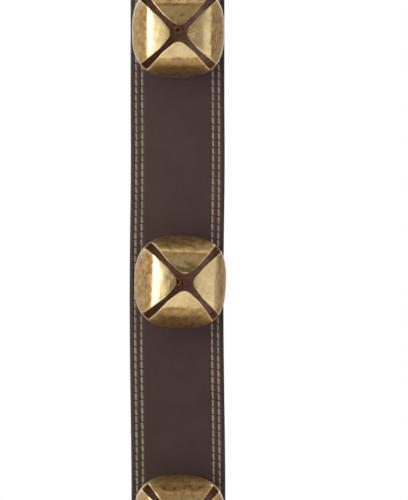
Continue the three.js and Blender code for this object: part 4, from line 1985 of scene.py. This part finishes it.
    def build_clapper(self) -> None:
        """Builds and dresses the clapper: a forged ball with a seam and flats from ringing."""
        level = np.linspace(-QUARTER, QUARTER, self.clapper_rings + 2)[1:-1]
        ball = lathe(np.stack([np.cos(level), np.sin(level)], axis=-1), self.clapper_sides)
        seam = self.seam_height * np.exp(-((level / self.seam_half) ** 2))[:, None]
        flats = ripple(ball, self.flat_length, self.seed + self.flat_seed_step)
        size = self.clapper_radius * (self.clapper_fill + seam - self.flat_depth * np.clip(flats, 0, 1))
        node = f"{self.body}_clapper"
        draft = MeshDraft()
        draft.add_closed(ball * size[..., None] + np.array(self.back @ box_middle(node)))
        clapper = self.rested(draft).to_object(f"{node}_ball")
        shade(clapper, self.clapper_crease)
        place(clapper, f"clapper_{self.name}", Slot.STEEL, node, self.finishes.steel)

    def build(self) -> None:
        """Builds the bell's pieces."""
        self.build_shell()
        self.build_shank()
        self.build_clapper()


@dataclass
class PinSet:
    """Split pin and washer that hold a bell's shank behind the front layer."""

    finishes: Finishes
    name: str
    pin: Vector
    wire: float = 0.72 * MM
    half_length: float = 5 * MM
    eye_radius: float = 1.35 * MM
    eye_rise: float = 1.5 * MM
    eye_gap: float = math.radians(62)
    eye_steps: int = 40
    neck_drop: float = 1.0 * MM
    straight_points: int = 12
    bend_radius: float = 1.4 * MM
    bend_rise: float = 0.55 * MM
    bend_steps: int = 8
    splay: float = math.radians(40)
    leg_length: float = 3.5 * MM
    leg_points: int = 8
    part: float = 0.03 * MM
    smoothing: int = 2
    round_steps: int = 10
    pin_crease: float = 40.0
    washer_radius: float = 7 * MM
    washer_bore: float = 3.27 * MM
    washer_round: float = 0.15 * MM
    washer_sides: int = 64
    washer_crease: float = 30.0

    def wire_path(self) -> np.ndarray:
        """Flat side of the half-round wire: up one leg, round the eye and down the other.

        Returns:
            Points in X and Z.
        """
        eye_z = self.half_length + self.eye_rise
        eye_ends = (3 * QUARTER - self.eye_gap / 2, self.eye_gap / 2 - QUARTER)
        eye = arc((0, eye_z), self.eye_radius, *eye_ends, self.eye_steps)
        bend_z = self.bend_rise - self.half_length
        bend_centre = (self.part + self.bend_radius, bend_z)
        bend = arc(bend_centre, self.bend_radius, math.pi, math.pi + self.splay, self.bend_steps)
        down = np.array([math.sin(self.splay), -math.cos(self.splay)])
        leg = bend[-1] + down * np.linspace(0, self.leg_length, self.leg_points)[1:, None]
        straight_z = np.linspace(self.half_length - self.neck_drop, bend_z, self.straight_points)
        straight = np.stack([np.full(len(straight_z), self.part), straight_z], axis=-1)
        right = np.vstack([straight[:-1], bend, leg])
        left = right[::-1] * np.array([-1, 1])
        path = np.vstack([left, eye, right])
        for _ in range(self.smoothing):
            path[1:-1] = (path[:-2] + 2 * path[1:-1] + path[2:]) / 4
        return path

    def build_pin(self) -> None:
        """Builds and dresses the split pin."""
        half_round = arc((0, 0), self.wire, -QUARTER, QUARTER, self.round_steps) * np.array([-1, 1])
        draft = MeshDraft()
        draft.add_closed(tube(stand_up(self.wire_path()), half_round) + np.array(self.pin))
        pin = draft.to_object(f"bell_{self.name}_split_pin")
        shade(pin, self.pin_crease)
        place(pin, "strap", Slot.STEEL, f"bell_{self.name}_cotter", self.finishes.steel)

    def build_washer(self) -> None:
        """Builds and dresses the washer."""
        low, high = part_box(f"bell_{self.name}_washer")
        front, back, soft = low[1], high[1], self.washer_round
        profile = np.array([
            [self.washer_bore, front + soft], [self.washer_bore + soft, front],
            [self.washer_radius - soft, front], [self.washer_radius, front + soft],
            [self.washer_radius, back - soft], [self.washer_radius - soft, back],
            [self.washer_bore + 2 * soft, back], [self.washer_bore, back - soft],
        ])
        grid = lathe(profile, self.washer_sides) + np.array([self.pin.x, 0.0, self.pin.z])
        draft = MeshDraft()
        draft.add_grid(grid, loop_rows=True, loop_columns=True)
        washer = draft.to_object(f"bell_{self.name}_plain_washer")
        shade(washer, self.washer_crease)
        place(washer, "strap", Slot.STEEL, f"bell_{self.name}_washer", self.finishes.steel)

    def build(self) -> None:
        """Builds the pin and its washer."""
        self.build_pin()
        self.build_washer()


# Studio


@dataclass(frozen=True)
class Lamp:
    """A soft rectangular lamp that faces the hanger, from an azimuth and an elevation in degrees."""

    name: str
    direction: Ends
    distance: float
    width: float
    height: float
    radiance: float
    colour: Colour = (1.0, 1.0, 1.0)

    def build(self, target: Vector) -> None:
        """Sets the lamp up.

        Args:
            target: that it faces.
        """
        azimuth, elevation = (math.radians(angle) for angle in self.direction)
        level = math.cos(elevation)
        away = Vector((math.sin(azimuth) * level, -math.cos(azimuth) * level, math.sin(elevation)))
        lamp = bpy.data.lights.new(self.name, "AREA")
        lamp.shape = "RECTANGLE"
        lamp.size = self.width
        lamp.size_y = self.height
        lamp.energy = self.radiance * math.pi * self.width * self.height
        lamp.color = self.colour
        holder = bpy.data.objects.new(self.name, lamp)
        holder.location = target + away * self.distance
        holder.rotation_euler = away.to_track_quat("Z", "Y").to_euler()
        bpy.context.scene.collection.objects.link(holder)


# Each lamp's name, direction, distance, width, height, radiance and, where it isn't white, colour.
LAMPS = (
    Lamp("left_softbox", (-42, 4), 1.3, 0.55, 2.0, 3.7, (1.0, 0.985, 0.98)),
    Lamp("left_veil", (-25, 4), 1.35, 0.24, 1.6, 0.7, (1.0, 0.985, 0.96)),
    Lamp("left_side_veil", (-63, 4), 1.35, 0.42, 1.6, 0.8, (1.0, 0.985, 0.96)),
    Lamp("right_softbox", (64, 4), 1.4, 1.05, 1.6, 0.46),
    Lamp("ceiling_panel", (0, 74), 1.4, 1.6, 0.9, 0.4),
    Lamp("back_fill", (180, 20), 1.8, 1.6, 1.6, 1.0),
)


@dataclass
class Studio:
    """Camera, floor, lamps and white surroundings."""

    scale: float = 0.532 * MM
    middle_x: float = 14.1 * MM
    middle_z: float = -246.3 * MM
    distance: float = 4.0
    sensor: float = 36.0
    sight: float = 100.0
    floor_drop: float = 0.08
    floor_radii: tuple[float, ...] = (0.048, 1.2, 2.4)
    floor_sides: int = 96
    white: Colour = (1.0, 1.0, 1.0)
    backdrop_side: Colour = (0.62, 0.59, 0.55)
    backdrop_ends: Ends = (-0.2, 0.8)
    behind_ends: Ends = (-0.42, 0.18)
    room_low: Colour = (0.30, 0.238, 0.19)
    room_high: Colour = (0.42, 0.36, 0.30)
    room_ends: Ends = (-0.2, 0.5)
    room_side: Colour = (0.55, 0.54, 0.52)
    side_ends: Ends = (0.2, 0.9)
    dark: Colour = (0.16, 0.145, 0.11)
    dark_way: tuple[float, float, float] = (0.17, -0.97, 0.17)
    dark_ends: Ends = (0.93, 0.99)

    def camera(self) -> None:
        """Sets the camera square to the strap, at the photo's framing."""
        lens = bpy.data.cameras.new("camera")
        lens.sensor_width = self.sensor
        lens.lens = self.distance * self.sensor / (PHOTO_HEIGHT * self.scale)
        lens.clip_end = self.sight
        holder = bpy.data.objects.new("camera", lens)
        holder.location = (self.middle_x, -self.distance, self.middle_z)
        holder.rotation_euler = Euler((QUARTER, 0.0, 0.0))
        bpy.context.scene.collection.objects.link(holder)
        bpy.context.scene.camera = holder

    def floor(self) -> None:
        """Lays a plain pale floor below the hanger."""
        level = CAD_BOX[0][2] - self.floor_drop
        rings = lathe(np.array([[radius, level] for radius in self.floor_radii]), self.floor_sides)
        draft = MeshDraft()
        index = draft.add_grid(rings[..., [0, 2, 1]], loop_columns=True)
        draft.add_cap(index[0])
        floor = draft.to_object("pale_floor")
        floor.data.materials.append(FloorFinish("pale_floor").material())

    def surroundings(self) -> None:
        """Makes the world white for the camera, with a dim room behind it for what the metal mirrors."""
        world = bpy.data.worlds.new("surroundings")
        world.use_nodes = True
        world.node_tree.nodes.clear()
        tree = ShaderTree(world.node_tree)
        rays = tree.add("LightPath").outputs
        outward = tree.add("TexCoord").outputs["Generated"]
        across, away, up = tree.add("SeparateXYZ", {0: outward}).outputs
        room = tree.mix(tree.span(up, self.room_ends), self.room_low, self.room_high)
        room = tree.mix(tree.span(tree.math("ABSOLUTE", across), self.side_ends), room, self.room_side)
        facing = tree.add("VectorMath", {0: outward, 1: self.dark_way}, operation="DOT_PRODUCT")
        room = tree.mix(tree.span(facing.outputs["Value"], self.dark_ends), room, self.dark)
        backdrop = tree.mix(tree.span(across, self.backdrop_ends), self.white, self.backdrop_side)
        mirrored = tree.math("MAXIMUM", rays["Is Glossy Ray"], rays["Is Transmission Ray"])
        behind = tree.times(mirrored, tree.span(away, self.behind_ends))
        colour = tree.mix(rays["Is Camera Ray"], tree.mix(behind, room, backdrop), self.white)
        light = tree.add("Background", {"Color": colour, "Strength": 1.0})
        tree.add("OutputWorld", {0: light.outputs[0]})
        bpy.context.scene.world = world

    def build(self) -> None:
        """Sets up everything round the hanger."""
        bpy.context.scene.view_settings.view_transform = "Standard"
        self.camera()
        self.floor()
        for lamp in LAMPS:
            lamp.build(Vector((0.0, 0.0, self.middle_z)))
        self.surroundings()


# Assembly


BELLS = (
    BellRest("top", turn=1.1, nod=5.0, roll=0.0, petals=(
        Petal(slope=26, fall=0.9, knocks=0.06 * MM, knocks_reach=7 * MM),
        Petal(slope=27, fall=0.35, crease=0.12 * MM, soil=1.8, knocks=0.24 * MM, curl=6, stain=0.4 * MM),
        Petal(slope=17.5, fall=0.5),
        Petal(slope=26, fall=1.0, stain=4.2 * MM, stain_width=2.2 * MM, stain_depth=1.55),
    )),
    BellRest("middle", turn=7.5, nod=0.5, roll=2.0, petals=(
        Petal(slope=26, fall=0.55, stain=-1 * MM),
        Petal(slope=26, fall=0.8, crease=0.10 * MM, soil=1.0, knocks=0.24 * MM, curl=20, stain=0.4 * MM),
        Petal(slope=26, fall=0.55, knocks=0.06 * MM, knocks_reach=7 * MM),
        Petal(slope=26, fall=0.55, stain=3.6 * MM, stain_width=3 * MM, stain_depth=1.3),
    )),
    BellRest("bottom", turn=2.5, nod=6.0, roll=1.5, petals=(
        Petal(slope=26, fall=0.8),
        Petal(slope=28, fall=0.45, crease_inset=-1.8 * MM, soil=2.0, soil_spread=3.2, stain=0.6 * MM),
        Petal(slope=20, fall=0.5),
        Petal(slope=26, fall=0.8, stain=4 * MM, stain_width=3 * MM, stain_depth=1.3),
    )),
)
FIRST_BELL_SEED = 31
BUTT_GAP = 0.4 * MM


def strap_form() -> StrapForm:
    """Reads the strap's sizes from the frame.

    Returns:
        The strap's form.
    """
    front_low, front_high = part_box("strap_front")
    lining_low, lining_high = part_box("strap_lining")
    _, row_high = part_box("stitching_front_outer")
    return StrapForm(
        width=front_high[0] - front_low[0],
        bar_z=joint_place("strap_swing").z,
        fold_inner=lining_low[1],
        lining_back=lining_high[1],
        flap_end_z=lining_high[2] + BUTT_GAP,
        lining_top_z=lining_high[2],
        tip_z=front_low[2],
        row_top_z=row_high[2],
    )


def main() -> None:
    """Builds the hanger, piece by piece, and the studio round it."""
    logging.basicConfig(level=logging.INFO, format="%(name)s: %(message)s")
    Studio().build()
    finishes = Finishes()
    form = strap_form()
    ring_low, ring_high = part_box("d_ring")
    pins = {bell.name: joint_place(f"bell_{bell.name}_rock") for bell in BELLS}
    rivets = {side: box_middle(f"fold_rivet_{side}_post") for side in ("left", "right")}
    HangerRing(finishes, ring_high[0] - ring_low[0], form.bar_z).build()
    Strap(finishes, form, LeatherLayer(form), pins, rivets).build()
    for face in Face:
        Stitching(finishes, form).build(face)
    for side, at in rivets.items():
        FoldRivet(finishes, side, at, form.panel_front, form.lining_back).build()
    for seed, bell in enumerate(BELLS, start=FIRST_BELL_SEED):
        Bell(finishes, bell, pins[bell.name], seed).build()
        PinSet(finishes, bell.name, pins[bell.name]).build()


if __name__ == "__main__":
    main()
